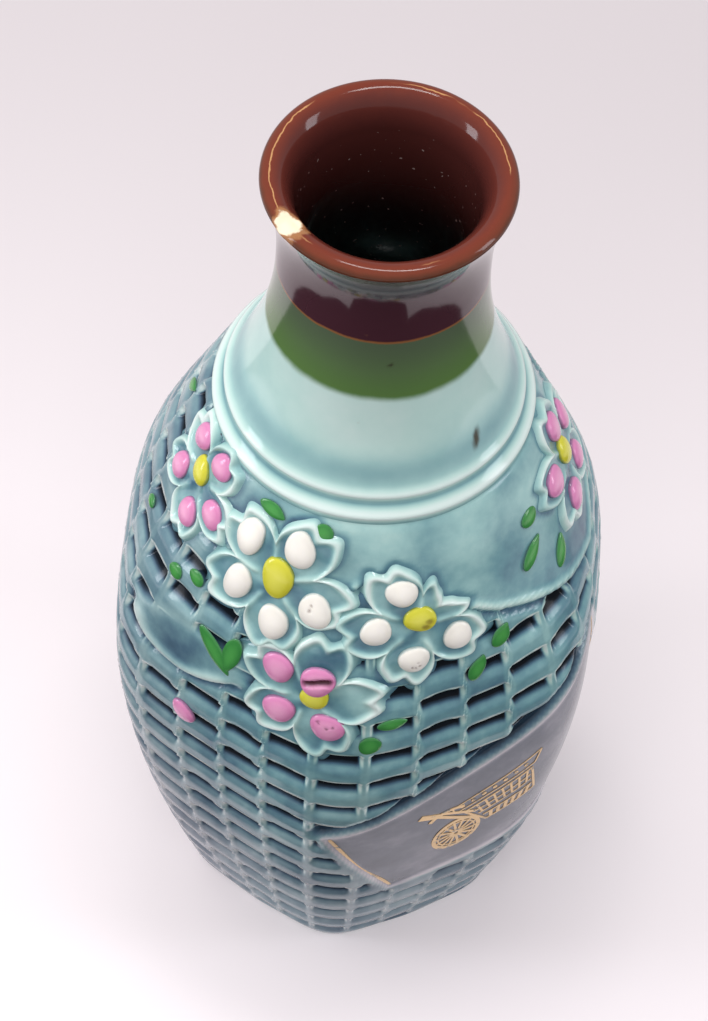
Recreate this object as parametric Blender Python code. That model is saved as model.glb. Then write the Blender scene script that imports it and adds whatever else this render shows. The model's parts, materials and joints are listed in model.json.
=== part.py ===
"""Sake bottle with a soft six-sided body, applied blossoms, enamel beads and a gilt cart panel.

The bottle stands on its foot at z = 0, on the Z axis, with one corner of the hexagon towards -Y.
An azimuth is counted in degrees from that corner, positive towards +X.
"""
import math

import bmesh
import bpy
from mathutils import Vector

MM = 0.001

# Turned form: half-widths are measured across the flats of the hexagon.
HEIGHT = 208.0 * MM            # foot to the top of the lip
LIP_RADIUS = 22.0 * MM
LIP_DROP = 1.6 * MM            # top of the lip down to its widest line
LIP_FLARE_HEIGHT = 18.4 * MM   # widest line of the lip down to the waist of the neck
NECK_RADIUS = 18.7 * MM        # at the waist of the neck
RING_HEIGHT = 152.0 * MM       # upper of the two raised rings
RING_RADIUS = 26.6 * MM
RING_SPACING = 3.6 * MM
RING_PROUD = 0.6 * MM
RING_HALF_WIDTH = 1.1 * MM
BELLY_HEIGHT = 82.0 * MM
BELLY_HALF_WIDTH = 46.6 * MM
FOOT_HALF_WIDTH = 31.8 * MM
FOOT_EDGE = 1.6 * MM           # rounding at the foot
FOOT_RING_WIDTH = 6.0 * MM
FOOT_RECESS = 2.0 * MM
WALL = 3.5 * MM
FLOOR = 5.0 * MM               # clay above the foot recess
LIP_CREST_RADIUS = 20.2 * MM
LIP_INNER_RADIUS = 16.0 * MM
LIP_INNER_DROP = 6.0 * MM      # widest line of the lip down to where the throat begins

# How each stretch of the profile bows between its two ends.
FOOT_BOW = 1.7
SHOULDER_BOW = 2.1
NECK_BOW = 2.2
LIP_BOW = 2.4

# Hexagon: a power mean of three widths, 2 is round and larger is sharper.
ROUND_POWER = 2.0
HEXAGON_POWER = 9.0
HEXAGON_TOP = 150.0 * MM
HEXAGON_FULL = 80.0 * MM
FACE_AZIMUTHS = (30.0, 90.0, 150.0)

AROUND = 48                    # facets round the body
BOND_GAP = 0.3 * MM            # between the wall and what is fired onto it

# Sunk panel on the right-hand face: (azimuth, height) of its corners.
PANEL_DEPTH = 1.0 * MM
PANEL_TOP_LEFT = (-3.0, 66.0 * MM)
PANEL_TOP_RIGHT = (77.0, 99.0 * MM)
PANEL_BOTTOM_RIGHT = (90.0, 55.0 * MM)
PANEL_BOTTOM_LEFT = (16.0, 32.5 * MM)
PANEL_COLUMNS = 12
PANEL_ROWS = 6

# Gilding inside the panel.
GILT_THICKNESS = 0.35 * MM
GILT_LINE_WIDTH = 1.0 * MM
GILT_LINE_INSET = 0.03         # share of the panel's length between its end and the line
GILT_LINE_END = 0.05           # share of the panel's width left free at each end of a line
CART_AZIMUTH = 33.0
CART_HEIGHT = 52.7 * MM
WHEEL_RADIUS = 5.8 * MM
WHEEL_RIM = 0.8 * MM
WHEEL_HUB = 1.1 * MM
SPOKE_OPEN_SHARE = 0.5         # share of each wheel sector left open between spokes
SPOKES = 12
CART_GAP = 0.45 * MM           # between the wheel, the carriage, the roof and the shaft
CARRIAGE_FLOOR = (17.5, 3.0)   # far corner of the carriage floor, in mm from the wheel's centre
CARRIAGE_TOP = (14.0, 17.5)    # far corner of the carriage under the roof
CARRIAGE_CLEAR = 3.0           # mm from the wheel's rim to the near corners
ROOF_RISE = 6.0                # mm from the carriage's top to the roof's far end
ROOF_OVERHANG = 1.0            # mm that the roof hangs over at each end
SHAFT_TIP = (-9.0, 16.0)
SHAFT_ROOT_OFFSET = 2.2        # mm from the wheel's centre line to the shaft's root
SHAFT_DEPTH = 2.6              # mm

# Blossoms.
PETALS = 5
PLATE_REACH = 12.0 * MM        # centre to petal tip
PLATE_WAIST = 0.60             # share of the reach left between two petals
PLATE_NOTCH = 0.09             # share of the reach cut into each petal's tip
PLATE_LOBE_POWER = 0.7         # under 1 makes the petals fuller
PLATE_NOTCH_WIDTH = 0.07       # radians
PLATE_THICKNESS = 1.1 * MM
PLATE_SEGMENTS = 40
PLATE_RINGS = 3
BEAD_HEIGHT = 1.5 * MM
UPRIGHT = 90.0                 # degrees from the level
LEAF_HEIGHT = 1.0 * MM
BEAD_SEGMENTS = 10
BEAD_RINGS = 4
POINT_POWER = 0.35             # how early a pointed leaf starts to narrow

# The sprigs, drops and leaves keep their places for this reach, and spread out with a larger one.
DESIGN_REACH = 12.0 * MM
SPREAD_AZIMUTH = -24.0

PINK = (0.66, 0.30, 0.45, 1.0)
WHITE = (0.82, 0.78, 0.70, 1.0)
YELLOW = (0.60, 0.56, 0.06, 1.0)
GREEN = (0.06, 0.26, 0.06, 1.0)
CELADON = (0.35, 0.52, 0.50, 1.0)
SPRIG_GLAZE = (0.50, 0.63, 0.60, 1.0)
GOLD = (0.72, 0.50, 0.24, 1.0)

# name, azimuth, height, turn, bead half-height and half-width, eye half-height and half-width, colour,
# and how far (level mm, up mm) each petal's bead and the eye lie from the middle; None for a bare petal
BLOSSOMS = (
    ("blossom_left", -59.9, 138.0, 60.0, 2.6, 2.4, 2.7, 2.2, PINK,
     ((3.2, 7.1), (-4.7, 6.5), (-6.4, -3.5), (1.2, -7.6), (6.8, -2.3)), (-1.0, 1.4)),
    ("blossom_front", -22.9, 132.3, 63.0, 3.5, 2.6, 3.6, 2.7, WHITE,
     ((3.2, 8.5), (-6.4, 6.7), (-6.8, -3.7), (1.6, -8.5), (8.5, -3.0)), (0.5, 1.2)),
    ("blossom_right", 17.7, 127.1, 42.0, 2.7, 2.5, 2.5, 2.7, WHITE,
     (None, (-2.3, 7.5), (-7.2, -0.4), (-0.6, -7.4), (7.7, -4.0)), (0.8, 1.5)),
    ("blossom_low", -8.6, 111.0, 7.0, 2.9, 2.9, 1.9, 2.4, PINK,
     (None, (1.5, 5.4), (-6.2, 4.8), (-4.9, -5.1), (4.6, -5.9)), (1.4, -0.5)),
    ("blossom_side", 88.4, 134.4, 19.0, 2.8, 2.4, 2.8, 2.2, PINK,
     ((7.4, 2.5), (0.8, 7.4), (-7.2, 1.6), (-3.4, -7.6), (4.6, -6.2)), (0.0, 1.2)),
)

# name, azimuth, height, half-length, half-width, turn from the level, pointed or round
LEAVES = (
    ("leaf_ring_left", -30.0, 144.6, 3.0, 1.4, -12.0, True),
    ("leaf_ring_right", -12.2, 143.0, 2.1, 1.9, 0.0, False),
    ("leaf_fork_long", -35.0, 111.4, 5.0, 1.7, -40.0, True),
    ("leaf_fork_short", -28.6, 113.0, 4.4, 1.6, -78.0, True),
    ("leaf_under_bloom", 6.6, 100.8, 2.4, 2.1, 50.0, False),
    ("leaf_under_stroke", 11.6, 105.6, 3.0, 1.3, 8.0, True),
    ("leaf_right_upper", 41.0, 118.5, 2.7, 1.9, 50.0, True),
    ("leaf_right_lower", 33.5, 113.4, 3.2, 1.6, 65.0, True),
    ("leaf_left_outer", -52.5, 119.8, 1.9, 1.6, 0.0, False),
    ("leaf_left_inner", -45.5, 122.6, 1.9, 1.6, 0.0, False),
    ("leaf_left_far", -73.5, 121.6, 1.6, 1.3, 0.0, False),
    ("leaf_left_top", -94.0, 140.0, 2.8, 1.2, 35.0, True),
    ("leaf_side_dot", 60.5, 136.0, 2.2, 1.9, 0.0, False),
    ("leaf_side_long", 57.0, 129.6, 3.6, 1.6, 35.0, True),
    ("leaf_side_short", 67.5, 124.0, 3.6, 1.5, 60.0, True),
)
BUD = ("bud_bead", -40.2, 88.4, 2.2, 1.8, -30.0)


def bowed(start, end, share, power):
    """Run from start to end, leaving start slowly."""
    return start + (end - start) * min(max(share, 0.0), 1.0) ** power


def flat_half_width(z):
    """Half-width of the outer wall across the flats at height z, without the rings."""
    lip = HEIGHT - LIP_DROP
    waist = lip - LIP_FLARE_HEIGHT
    if z < BELLY_HEIGHT:
        return bowed(BELLY_HALF_WIDTH, FOOT_HALF_WIDTH, (BELLY_HEIGHT - z) / BELLY_HEIGHT, FOOT_BOW)
    if z < RING_HEIGHT:
        share = (z - BELLY_HEIGHT) / (RING_HEIGHT - BELLY_HEIGHT)
        return bowed(BELLY_HALF_WIDTH, RING_RADIUS, share, SHOULDER_BOW)
    if z < waist:
        return bowed(NECK_RADIUS, RING_RADIUS, (waist - z) / (waist - RING_HEIGHT), NECK_BOW)
    return bowed(NECK_RADIUS, LIP_RADIUS, (z - waist) / LIP_FLARE_HEIGHT, LIP_BOW)


def ring_bump(z):
    """Extra radius where one of the two raised rings runs."""
    rings = (RING_HEIGHT, RING_HEIGHT - RING_SPACING)
    return sum(RING_PROUD * math.exp(-((z - ring) / (0.6 * RING_HALF_WIDTH)) ** 2) for ring in rings)


def hexagon_factor(azimuth, z):
    """Radius at an azimuth as a multiple of the half-width across the flats."""
    share = min(max((HEXAGON_TOP - z) / (HEXAGON_TOP - HEXAGON_FULL), 0.0), 1.0)
    blend = share * share * (3.0 - 2.0 * share)
    power = ROUND_POWER + (HEXAGON_POWER - ROUND_POWER) * blend
    total = sum(abs(math.cos(math.radians(azimuth - face))) ** power for face in FACE_AZIMUTHS)
    on_face = 1.0 + 2.0 * 0.5 ** power
    return (total / on_face) ** (-1.0 / power)


def wall_radius(azimuth, z):
    return flat_half_width(z) * hexagon_factor(azimuth, z)


def wall_point(azimuth, z, lift=0.0):
    """Point on the outer wall, moved outwards from the axis by lift."""
    radius = wall_radius(azimuth, z) + lift
    turn = math.radians(azimuth)
    return Vector((radius * math.sin(turn), -radius * math.cos(turn), z))


def wall_frame(azimuth, z):
    """Point on the wall with the directions along it, up it and out of it."""
    step = 0.2
    along = wall_point(azimuth + step, z) - wall_point(azimuth - step, z)
    up = wall_point(azimuth, z + step * MM) - wall_point(azimuth, z - step * MM)
    out = along.cross(up).normalized()
    up = (Vector((0.0, 0.0, 1.0)) - out * out.z).normalized()
    return wall_point(azimuth, z), up.cross(out), up, out


def press_on_wall(point, inward, reach):
    """Slide a point along the direction inward until it meets the outer wall."""
    near, far = 0.0, 2.0 * reach
    start = point - inward * reach
    for _ in range(30):
        middle = 0.5 * (near + far)
        here = start + inward * middle
        azimuth = math.degrees(math.atan2(here.x, -here.y))
        if math.hypot(here.x, here.y) > wall_radius(azimuth, here.z):
            near = middle
        else:
            far = middle
    return start + inward * near


def wrap(bm, azimuth, height, turn, lift):
    """Lay a flat-modelled piece on the wall: x and y run along it, z stands out of it."""
    origin, along, up, out = wall_frame(azimuth, height)
    cos_turn = math.cos(math.radians(turn))
    sin_turn = math.sin(math.radians(turn))
    for vert in bm.verts:
        x = vert.co.x * cos_turn - vert.co.y * sin_turn
        y = vert.co.x * sin_turn + vert.co.y * cos_turn
        spot = press_on_wall(origin + along * x + up * y, -out, 12.0 * MM)
        spot_azimuth = math.degrees(math.atan2(spot.x, -spot.y))
        normal = wall_frame(spot_azimuth, spot.z)[3]
        vert.co = spot + normal * (lift + vert.co.z)


def finish(bm, name, colour, roughness, metallic, collection, extruded=True):
    """Turn a bmesh into a named object with its own material."""
    if extruded:
        bmesh.ops.recalc_face_normals(bm, faces=bm.faces)
    mesh = bpy.data.meshes.new(name)
    bm.to_mesh(mesh)
    bm.free()
    mesh.shade_smooth()
    mesh.set_sharp_from_angle(angle=math.radians(40.0))
    material = bpy.data.materials.new(name)
    material.use_nodes = True
    shader = material.node_tree.nodes["Principled BSDF"]
    shader.inputs["Base Color"].default_value = colour
    shader.inputs["Roughness"].default_value = roughness
    shader.inputs["Metallic"].default_value = metallic
    mesh.materials.append(material)
    piece = bpy.data.objects.new(name, mesh)
    collection.objects.link(piece)
    return piece


def spaced(start, end, count):
    """Count + 1 values from start to end, both included."""
    return [start + (end - start) * i / count for i in range(count + 1)]


def bottle_profile():
    """Closed section from the middle of the foot, up the outside and down the inside."""
    lip = HEIGHT - LIP_DROP
    ring_low = RING_HEIGHT - RING_SPACING - 1.2 * RING_HALF_WIDTH
    ring_high = RING_HEIGHT + 1.2 * RING_HALF_WIDTH
    foot_inner = FOOT_HALF_WIDTH - FOOT_EDGE - FOOT_RING_WIDTH
    points = [(0.0, FOOT_RECESS), (foot_inner - FOOT_RECESS, FOOT_RECESS), (foot_inner, 0.0)]
    points += [(FOOT_HALF_WIDTH - FOOT_EDGE, 0.0)]
    rise = math.radians(45.0)
    points += [(FOOT_HALF_WIDTH - FOOT_EDGE * (1.0 - math.sin(rise)), FOOT_EDGE * (1.0 - math.cos(rise)))]
    heights = spaced(FOOT_EDGE, BELLY_HEIGHT, 8) + spaced(BELLY_HEIGHT, ring_low, 7)[1:]
    heights += spaced(ring_low, ring_high, 8)[1:]
    heights += spaced(ring_high, lip, 7)[1:]
    points += [(flat_half_width(z) + ring_bump(z), z) for z in heights]
    # The lip rolls over a short outer quarter and a longer inner one, then runs down into the throat.
    roll_out = LIP_RADIUS - LIP_CREST_RADIUS
    roll_in = LIP_CREST_RADIUS - LIP_INNER_RADIUS
    inner_rise = LIP_DROP + LIP_INNER_DROP
    for turn in (45.0, 90.0):
        angle = math.radians(turn)
        points.append((LIP_CREST_RADIUS + roll_out * math.cos(angle), lip + LIP_DROP * math.sin(angle)))
    for turn in (120.0, 150.0, 180.0):
        angle = math.radians(turn)
        z = lip - LIP_INNER_DROP + inner_rise * math.sin(angle)
        points.append((LIP_CREST_RADIUS + roll_in * math.cos(angle), z))
    throat = NECK_RADIUS - WALL
    waist = lip - LIP_FLARE_HEIGHT
    throat_height = LIP_FLARE_HEIGHT - LIP_INNER_DROP
    for z in spaced(lip - LIP_INNER_DROP, waist, 3)[1:]:
        points.append((bowed(throat, LIP_INNER_RADIUS, (z - waist) / throat_height, LIP_BOW), z))
    inside = FOOT_RECESS + FLOOR
    corner = 3.0 * WALL
    for z in spaced(waist, RING_HEIGHT, 2)[1:] + spaced(RING_HEIGHT, BELLY_HEIGHT, 4)[1:]:
        points.append((flat_half_width(z) - WALL, z))
    for z in spaced(BELLY_HEIGHT, inside + corner, 3)[1:]:
        points.append((flat_half_width(z) - WALL, z))
    bottom = flat_half_width(inside + corner) - WALL
    for turn in (30.0, 60.0, 90.0):
        angle = math.radians(turn)
        points.append((bottom - corner * (1.0 - math.cos(angle)), inside + corner * (1.0 - math.sin(angle))))
    points.append((0.0, inside))
    return points


def build_body(collection):
    """Spin the section, then press the round blank into a soft hexagon."""
    bm = bmesh.new()
    verts = [bm.verts.new((0.0, -radius, z)) for radius, z in bottle_profile()]
    edges = [bm.edges.new(pair) for pair in zip(verts, verts[1:])]
    bmesh.ops.spin(bm, geom=verts + edges, cent=(0.0, 0.0, 0.0), axis=(0.0, 0.0, 1.0),
                   angle=2.0 * math.pi, steps=AROUND, use_merge=True)
    bmesh.ops.remove_doubles(bm, verts=bm.verts, dist=0.00001)
    for vert in bm.verts:
        azimuth = math.degrees(math.atan2(vert.co.x, -vert.co.y))
        factor = hexagon_factor(azimuth, vert.co.z)
        vert.co.x *= factor
        vert.co.y *= factor
    return finish(bm, "bottle_body", CELADON, 0.12, 0.0, collection)


def panel_point(share_along, share_up, lift=0.0):
    """Point over the panel from its shares of the way along and up."""
    corners = (PANEL_BOTTOM_LEFT, PANEL_BOTTOM_RIGHT, PANEL_TOP_LEFT, PANEL_TOP_RIGHT)
    bottom = [a + (b - a) * share_along for a, b in zip(corners[0], corners[1])]
    top = [a + (b - a) * share_along for a, b in zip(corners[2], corners[3])]
    azimuth, z = [a + (b - a) * share_up for a, b in zip(bottom, top)]
    return wall_point(azimuth, z, lift)


def build_panel_cutter(collection):
    """A curved slab that sinks the panel into the wall."""
    bm = bmesh.new()
    bmesh.ops.create_grid(bm, x_segments=PANEL_COLUMNS, y_segments=PANEL_ROWS, size=0.5)
    extruded = bmesh.ops.extrude_face_region(bm, geom=list(bm.faces))
    for item in extruded["geom"]:
        if isinstance(item, bmesh.types.BMVert):
            item.co.z = 1.0
    for vert in bm.verts:
        lift = -PANEL_DEPTH if vert.co.z < 0.5 else 3.0 * PANEL_DEPTH
        vert.co = panel_point(vert.co.x + 0.5, vert.co.y + 0.5, lift)
    cutter = finish(bm, "panel_cutter", CELADON, 0.5, 0.0, collection)
    cutter.hide_render = True
    cutter.display_type = "WIRE"
    return cutter


def spread(azimuth, height_mm):
    """Place on the wall of something that keeps its distance from the sprigs as they grow."""
    share = PLATE_REACH / DESIGN_REACH
    top = RING_HEIGHT - RING_SPACING
    return SPREAD_AZIMUTH + (azimuth - SPREAD_AZIMUTH) * share, top - (top - height_mm * MM) * share


def build_blossom_plate(blossom, collection):
    """Five notched petals in one thin sprig, pressed onto the wall."""
    name, azimuth, height, turn = blossom[:4]
    azimuth, height = spread(azimuth, height)
    bm = bmesh.new()
    bmesh.ops.create_circle(bm, cap_ends=True, cap_tris=True, segments=PLATE_SEGMENTS, radius=1.0)
    spokes = [edge for edge in bm.edges if min(vert.co.length for vert in edge.verts) < 0.5]
    bmesh.ops.subdivide_edges(bm, edges=spokes, cuts=PLATE_RINGS - 1)
    for vert in bm.verts:
        angle = math.atan2(vert.co.y, vert.co.x)
        lobe = abs(math.cos(0.5 * PETALS * angle)) ** PLATE_LOBE_POWER
        from_tip = math.remainder(angle, 2.0 * math.pi / PETALS)
        notch = PLATE_NOTCH * math.exp(-(from_tip / PLATE_NOTCH_WIDTH) ** 2)
        reach = PLATE_REACH * (PLATE_WAIST + (1.0 - PLATE_WAIST) * lobe - notch)
        vert.co = vert.co * reach
    extruded = bmesh.ops.extrude_face_region(bm, geom=list(bm.faces))
    for item in extruded["geom"]:
        if isinstance(item, bmesh.types.BMVert):
            item.co.z = PLATE_THICKNESS
    wrap(bm, azimuth, height, turn, BOND_GAP)
    return finish(bm, name, SPRIG_GLAZE, 0.15, 0.0, collection)


def build_bead(name, azimuth, height, offset, half_length, half_width, turn, lift, rise, colour,
               collection, pointed=False):
    """A domed drop of enamel. The offset (x, y) is measured from the spot at azimuth and height."""
    bm = bmesh.new()
    bmesh.ops.create_uvsphere(bm, u_segments=BEAD_SEGMENTS, v_segments=BEAD_RINGS, radius=1.0)
    cos_turn = math.cos(math.radians(turn))
    sin_turn = math.sin(math.radians(turn))
    for vert in bm.verts:
        narrowing = max(1.0 - vert.co.x ** 2, 0.0) ** POINT_POWER if pointed else 1.0
        x = vert.co.x * half_length
        y = vert.co.y * half_width * narrowing
        z = max(vert.co.z, 0.0) * rise
        vert.co = (x * cos_turn - y * sin_turn + offset[0], x * sin_turn + y * cos_turn + offset[1], z)
    wrap(bm, azimuth, height, 0.0, lift)
    return finish(bm, name, colour, 0.12, 0.0, collection, extruded=False)


def build_blossom_beads(blossom, collection):
    """One bead on each petal and a yellow one in the middle."""
    name, azimuth, height, _, half_height, half_width, eye_height, eye_width, colour, places, eye = blossom
    azimuth, height = spread(azimuth, height)
    lift = 2.0 * BOND_GAP + PLATE_THICKNESS
    for petal, place in enumerate(places):
        if place:
            build_bead("%s_bead_%d" % (name, petal + 1), azimuth, height, (place[0] * MM, place[1] * MM),
                       half_height * MM, half_width * MM, UPRIGHT, lift, BEAD_HEIGHT, colour, collection)
    build_bead(name + "_eye", azimuth, height, (eye[0] * MM, eye[1] * MM), eye_height * MM,
               eye_width * MM, UPRIGHT, lift, BEAD_HEIGHT, YELLOW, collection)


def gilt_lift():
    """Height of the underside of the gilding over the wall, inside the sunk panel."""
    return BOND_GAP - PANEL_DEPTH


def gilt_outline(name, corners, collection, pieces_along=4):
    """A thin gilt plate from a four-cornered outline in the cart's own plane."""
    bm = bmesh.new()
    bmesh.ops.create_grid(bm, x_segments=pieces_along, y_segments=pieces_along, size=0.5)
    extruded = bmesh.ops.extrude_face_region(bm, geom=list(bm.faces))
    for item in extruded["geom"]:
        if isinstance(item, bmesh.types.BMVert):
            item.co.z = 1.0
    for vert in bm.verts:
        along = vert.co.x + 0.5
        rise = vert.co.y + 0.5
        low = Vector(corners[0]).lerp(Vector(corners[1]), along)
        high = Vector(corners[3]).lerp(Vector(corners[2]), along)
        spot = low.lerp(high, rise) * MM
        vert.co = (spot.x, spot.y, vert.co.z * GILT_THICKNESS)
    wrap(bm, CART_AZIMUTH, CART_HEIGHT, 0.0, gilt_lift())
    return finish(bm, name, GOLD, 0.3, 1.0, collection)


def build_wheel(collection):
    """Rim, hub and spokes of the cart wheel as one flat gilt piece."""
    bm = bmesh.new()
    around = 4 * SPOKES
    radii = (WHEEL_HUB, WHEEL_RADIUS - WHEEL_RIM, WHEEL_RADIUS)
    bmesh.ops.create_circle(bm, cap_ends=True, cap_tris=True, segments=around, radius=1.0)
    spokes = [edge for edge in bm.edges if min(vert.co.length for vert in edge.verts) < 0.5]
    bmesh.ops.subdivide_edges(bm, edges=spokes, cuts=len(radii) - 1)
    for vert in bm.verts:
        level = round(vert.co.length * len(radii))
        if level > 0:
            vert.co = vert.co.normalized() * radii[level - 1]
    open_faces = []
    for face in bm.faces:
        middle = face.calc_center_median()
        angle = math.atan2(middle.y, middle.x) % (2.0 * math.pi / SPOKES)
        between_radii = WHEEL_HUB < middle.length < WHEEL_RADIUS - WHEEL_RIM
        if between_radii and angle > (1.0 - SPOKE_OPEN_SHARE) * 2.0 * math.pi / SPOKES:
            open_faces.append(face)
    bmesh.ops.delete(bm, geom=open_faces, context="FACES")
    extruded = bmesh.ops.extrude_face_region(bm, geom=list(bm.faces))
    for item in extruded["geom"]:
        if isinstance(item, bmesh.types.BMVert):
            item.co.z = GILT_THICKNESS
    wrap(bm, CART_AZIMUTH, CART_HEIGHT, 0.0, gilt_lift())
    return finish(bm, "gilt_wheel", GOLD, 0.3, 1.0, collection)


def build_gilt_line(name, share_along, collection):
    """A gilt line across the panel near one of its short ends."""
    bm = bmesh.new()
    bmesh.ops.create_grid(bm, x_segments=1, y_segments=PANEL_ROWS, size=0.5)
    extruded = bmesh.ops.extrude_face_region(bm, geom=list(bm.faces))
    for item in extruded["geom"]:
        if isinstance(item, bmesh.types.BMVert):
            item.co.z = 1.0
    length = (panel_point(1.0, 0.5) - panel_point(0.0, 0.5)).length
    for vert in bm.verts:
        along = share_along + vert.co.x * GILT_LINE_WIDTH / length
        rise = GILT_LINE_END + (vert.co.y + 0.5) * (1.0 - 2.0 * GILT_LINE_END)
        vert.co = panel_point(along, rise, gilt_lift() + vert.co.z * GILT_THICKNESS)
    return finish(bm, name, GOLD, 0.3, 1.0, collection)


def build_cart(collection):
    """A plain two-wheeled court cart seen from the side: wheel, carriage, roof and shaft."""
    build_wheel(collection)
    gap = CART_GAP / MM
    clear = WHEEL_RADIUS / MM + gap + CARRIAGE_CLEAR
    near_floor = (clear, 0.0)
    near_top = (0.0, clear)
    gilt_outline("gilt_carriage", (near_floor, CARRIAGE_FLOOR, CARRIAGE_TOP, near_top), collection)
    roof_low_near = (near_top[0], near_top[1] + 2.0 * gap)
    roof_low_far = (CARRIAGE_TOP[0], CARRIAGE_TOP[1] + 2.0 * gap)
    roof_high_far = (CARRIAGE_TOP[0] + ROOF_OVERHANG, CARRIAGE_TOP[1] + ROOF_RISE)
    roof_high_near = (near_top[0] - ROOF_OVERHANG, near_top[1] + ROOF_RISE)
    gilt_outline("gilt_roof", (roof_low_near, roof_low_far, roof_high_far, roof_high_near), collection)
    root = -SHAFT_ROOT_OFFSET
    gilt_outline("gilt_shaft", (SHAFT_TIP, (root, clear), (root, clear + SHAFT_DEPTH),
                                (SHAFT_TIP[0], SHAFT_TIP[1] + SHAFT_DEPTH)), collection, pieces_along=2)


def main():
    for leftover in list(bpy.data.objects):
        bpy.data.objects.remove(leftover, do_unlink=True)
    pieces = bpy.data.collections.new("sake_bottle")
    cutters = bpy.data.collections.new("cutters")
    bpy.context.scene.collection.children.link(pieces)
    bpy.context.scene.collection.children.link(cutters)

    body = build_body(pieces)
    cut = body.modifiers.new("sunk_panel", "BOOLEAN")
    cut.operation = "DIFFERENCE"
    cut.solver = "EXACT"
    cut.object = build_panel_cutter(cutters)

    for blossom in BLOSSOMS:
        build_blossom_plate(blossom, pieces)
        build_blossom_beads(blossom, pieces)
    for name, azimuth, height, half_length, half_width, turn, pointed in LEAVES:
        azimuth, height = spread(azimuth, height)
        build_bead(name, azimuth, height, (0.0, 0.0), half_length * MM, half_width * MM, turn,
                   BOND_GAP, LEAF_HEIGHT, GREEN, pieces, pointed)
    name, azimuth, height, half_length, half_width, turn = BUD
    azimuth, height = spread(azimuth, height)
    build_bead(name, azimuth, height, (0.0, 0.0), half_length * MM, half_width * MM, turn,
               BOND_GAP, BEAD_HEIGHT, PINK, pieces)
    build_cart(pieces)
    build_gilt_line("gilt_line_left", GILT_LINE_INSET, pieces)
    build_gilt_line("gilt_line_right", 1.0 - GILT_LINE_INSET, pieces)


main()
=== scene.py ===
# %% [markdown]
# # A celadon sake bottle, glazed and gilded
# The bottle is slip-cast pottery: a hollow body with a woven relief, blossoms in raised clay, drops of
# enamel and a little gilding, all fired together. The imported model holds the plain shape. This lesson
# makes the surface that a potter would: the weave, the pooled glaze, the petals and the drops.

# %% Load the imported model
import math

import bmesh
import bpy
import numpy as np
from mathutils import Matrix, Vector
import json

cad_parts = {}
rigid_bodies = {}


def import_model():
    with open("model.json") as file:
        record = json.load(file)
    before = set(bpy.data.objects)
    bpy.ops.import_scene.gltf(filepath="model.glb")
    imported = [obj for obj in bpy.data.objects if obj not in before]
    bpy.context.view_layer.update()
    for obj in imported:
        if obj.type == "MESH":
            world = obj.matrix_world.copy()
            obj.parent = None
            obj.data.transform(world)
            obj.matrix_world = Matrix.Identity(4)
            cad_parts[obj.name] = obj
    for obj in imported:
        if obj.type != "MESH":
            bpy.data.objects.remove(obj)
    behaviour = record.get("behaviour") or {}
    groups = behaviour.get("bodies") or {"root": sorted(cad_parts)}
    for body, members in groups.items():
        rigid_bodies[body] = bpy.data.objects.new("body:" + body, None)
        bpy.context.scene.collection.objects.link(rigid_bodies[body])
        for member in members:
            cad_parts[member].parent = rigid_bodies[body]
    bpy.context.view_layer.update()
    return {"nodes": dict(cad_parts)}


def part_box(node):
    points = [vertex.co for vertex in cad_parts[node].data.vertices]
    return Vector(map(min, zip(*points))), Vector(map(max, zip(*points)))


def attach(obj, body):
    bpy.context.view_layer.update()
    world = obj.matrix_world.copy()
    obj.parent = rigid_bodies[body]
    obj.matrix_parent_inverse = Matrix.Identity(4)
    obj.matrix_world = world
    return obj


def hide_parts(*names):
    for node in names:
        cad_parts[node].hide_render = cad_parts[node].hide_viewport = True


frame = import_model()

MM = 0.001
print("packed nodes:", len(frame["nodes"]))

# %% [markdown]
# ## Sizes
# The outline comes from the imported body: its box gives the height and the width across the flats.
# The other sizes say how the potter shaped the wall between those, in millimetres turned to metres.

# %% Name the sizes
body_low, body_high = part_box("bottle_body")
HEIGHT = body_high[2]
BELLY_HALF_WIDTH = body_high[0]
LIP_RADIUS = 22.0 * MM
LIP_CREST_RADIUS = 20.2 * MM
LIP_INNER_RADIUS = 16.0 * MM
LIP_INNER_DROP = 6.0 * MM
LIP_DROP = 1.6 * MM
LIP_FLARE_HEIGHT = 18.4 * MM
NECK_RADIUS = 18.7 * MM
RING_HEIGHT = 152.0 * MM
RING_RADIUS = 26.6 * MM
RING_SPACING = 3.6 * MM
RING_PROUD = 0.75 * MM
RING_HALF_WIDTH = 1.1 * MM
BELLY_HEIGHT = 82.0 * MM
FOOT_HALF_WIDTH = 31.8 * MM
FOOT_EDGE = 1.6 * MM
FOOT_RING_WIDTH = 6.0 * MM
FOOT_RECESS = 2.0 * MM
WALL = 3.5 * MM
FLOOR = 5.0 * MM
LIP_WIDEST = HEIGHT - LIP_DROP
WAIST = LIP_WIDEST - LIP_FLARE_HEIGHT
SEAM = RING_HEIGHT - RING_SPACING - 1.6 * RING_HALF_WIDTH   # where the woven wall meets the shoulder
print("height %.1f mm, seam at %.1f mm" % (HEIGHT / MM, SEAM / MM))

# %% [markdown]
# ## Two small helpers
# Colours are picked as sRGB hex values, as a paint chart gives them, and Blender wants them linear.
# One short function adds a node with its settings and its links, so that a material reads as a list.

# %% Colour and node helpers
GLAZE_IOR = 1.5


def tint(code):
    """Linear colour from an sRGB hex code such as "b0cdc6"."""
    channels = [int(code[i:i + 2], 16) / 255.0 for i in (0, 2, 4)]
    linear = [c / 12.92 if c <= 0.04045 else ((c + 0.055) / 1.055) ** 2.4 for c in channels]
    return (*linear, 1.0)


def add_node(tree, kind, values=None, links=None, **settings):
    """Add a node. Values fill its sockets, links join sockets of other nodes to its own."""
    node = tree.nodes.new(kind)
    for key, value in settings.items():
        setattr(node, key, value)
    for key, value in (values or {}).items():
        node.inputs[key].default_value = value
    for key, socket in (links or {}).items():
        tree.links.new(socket, node.inputs[key])
    return node


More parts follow.
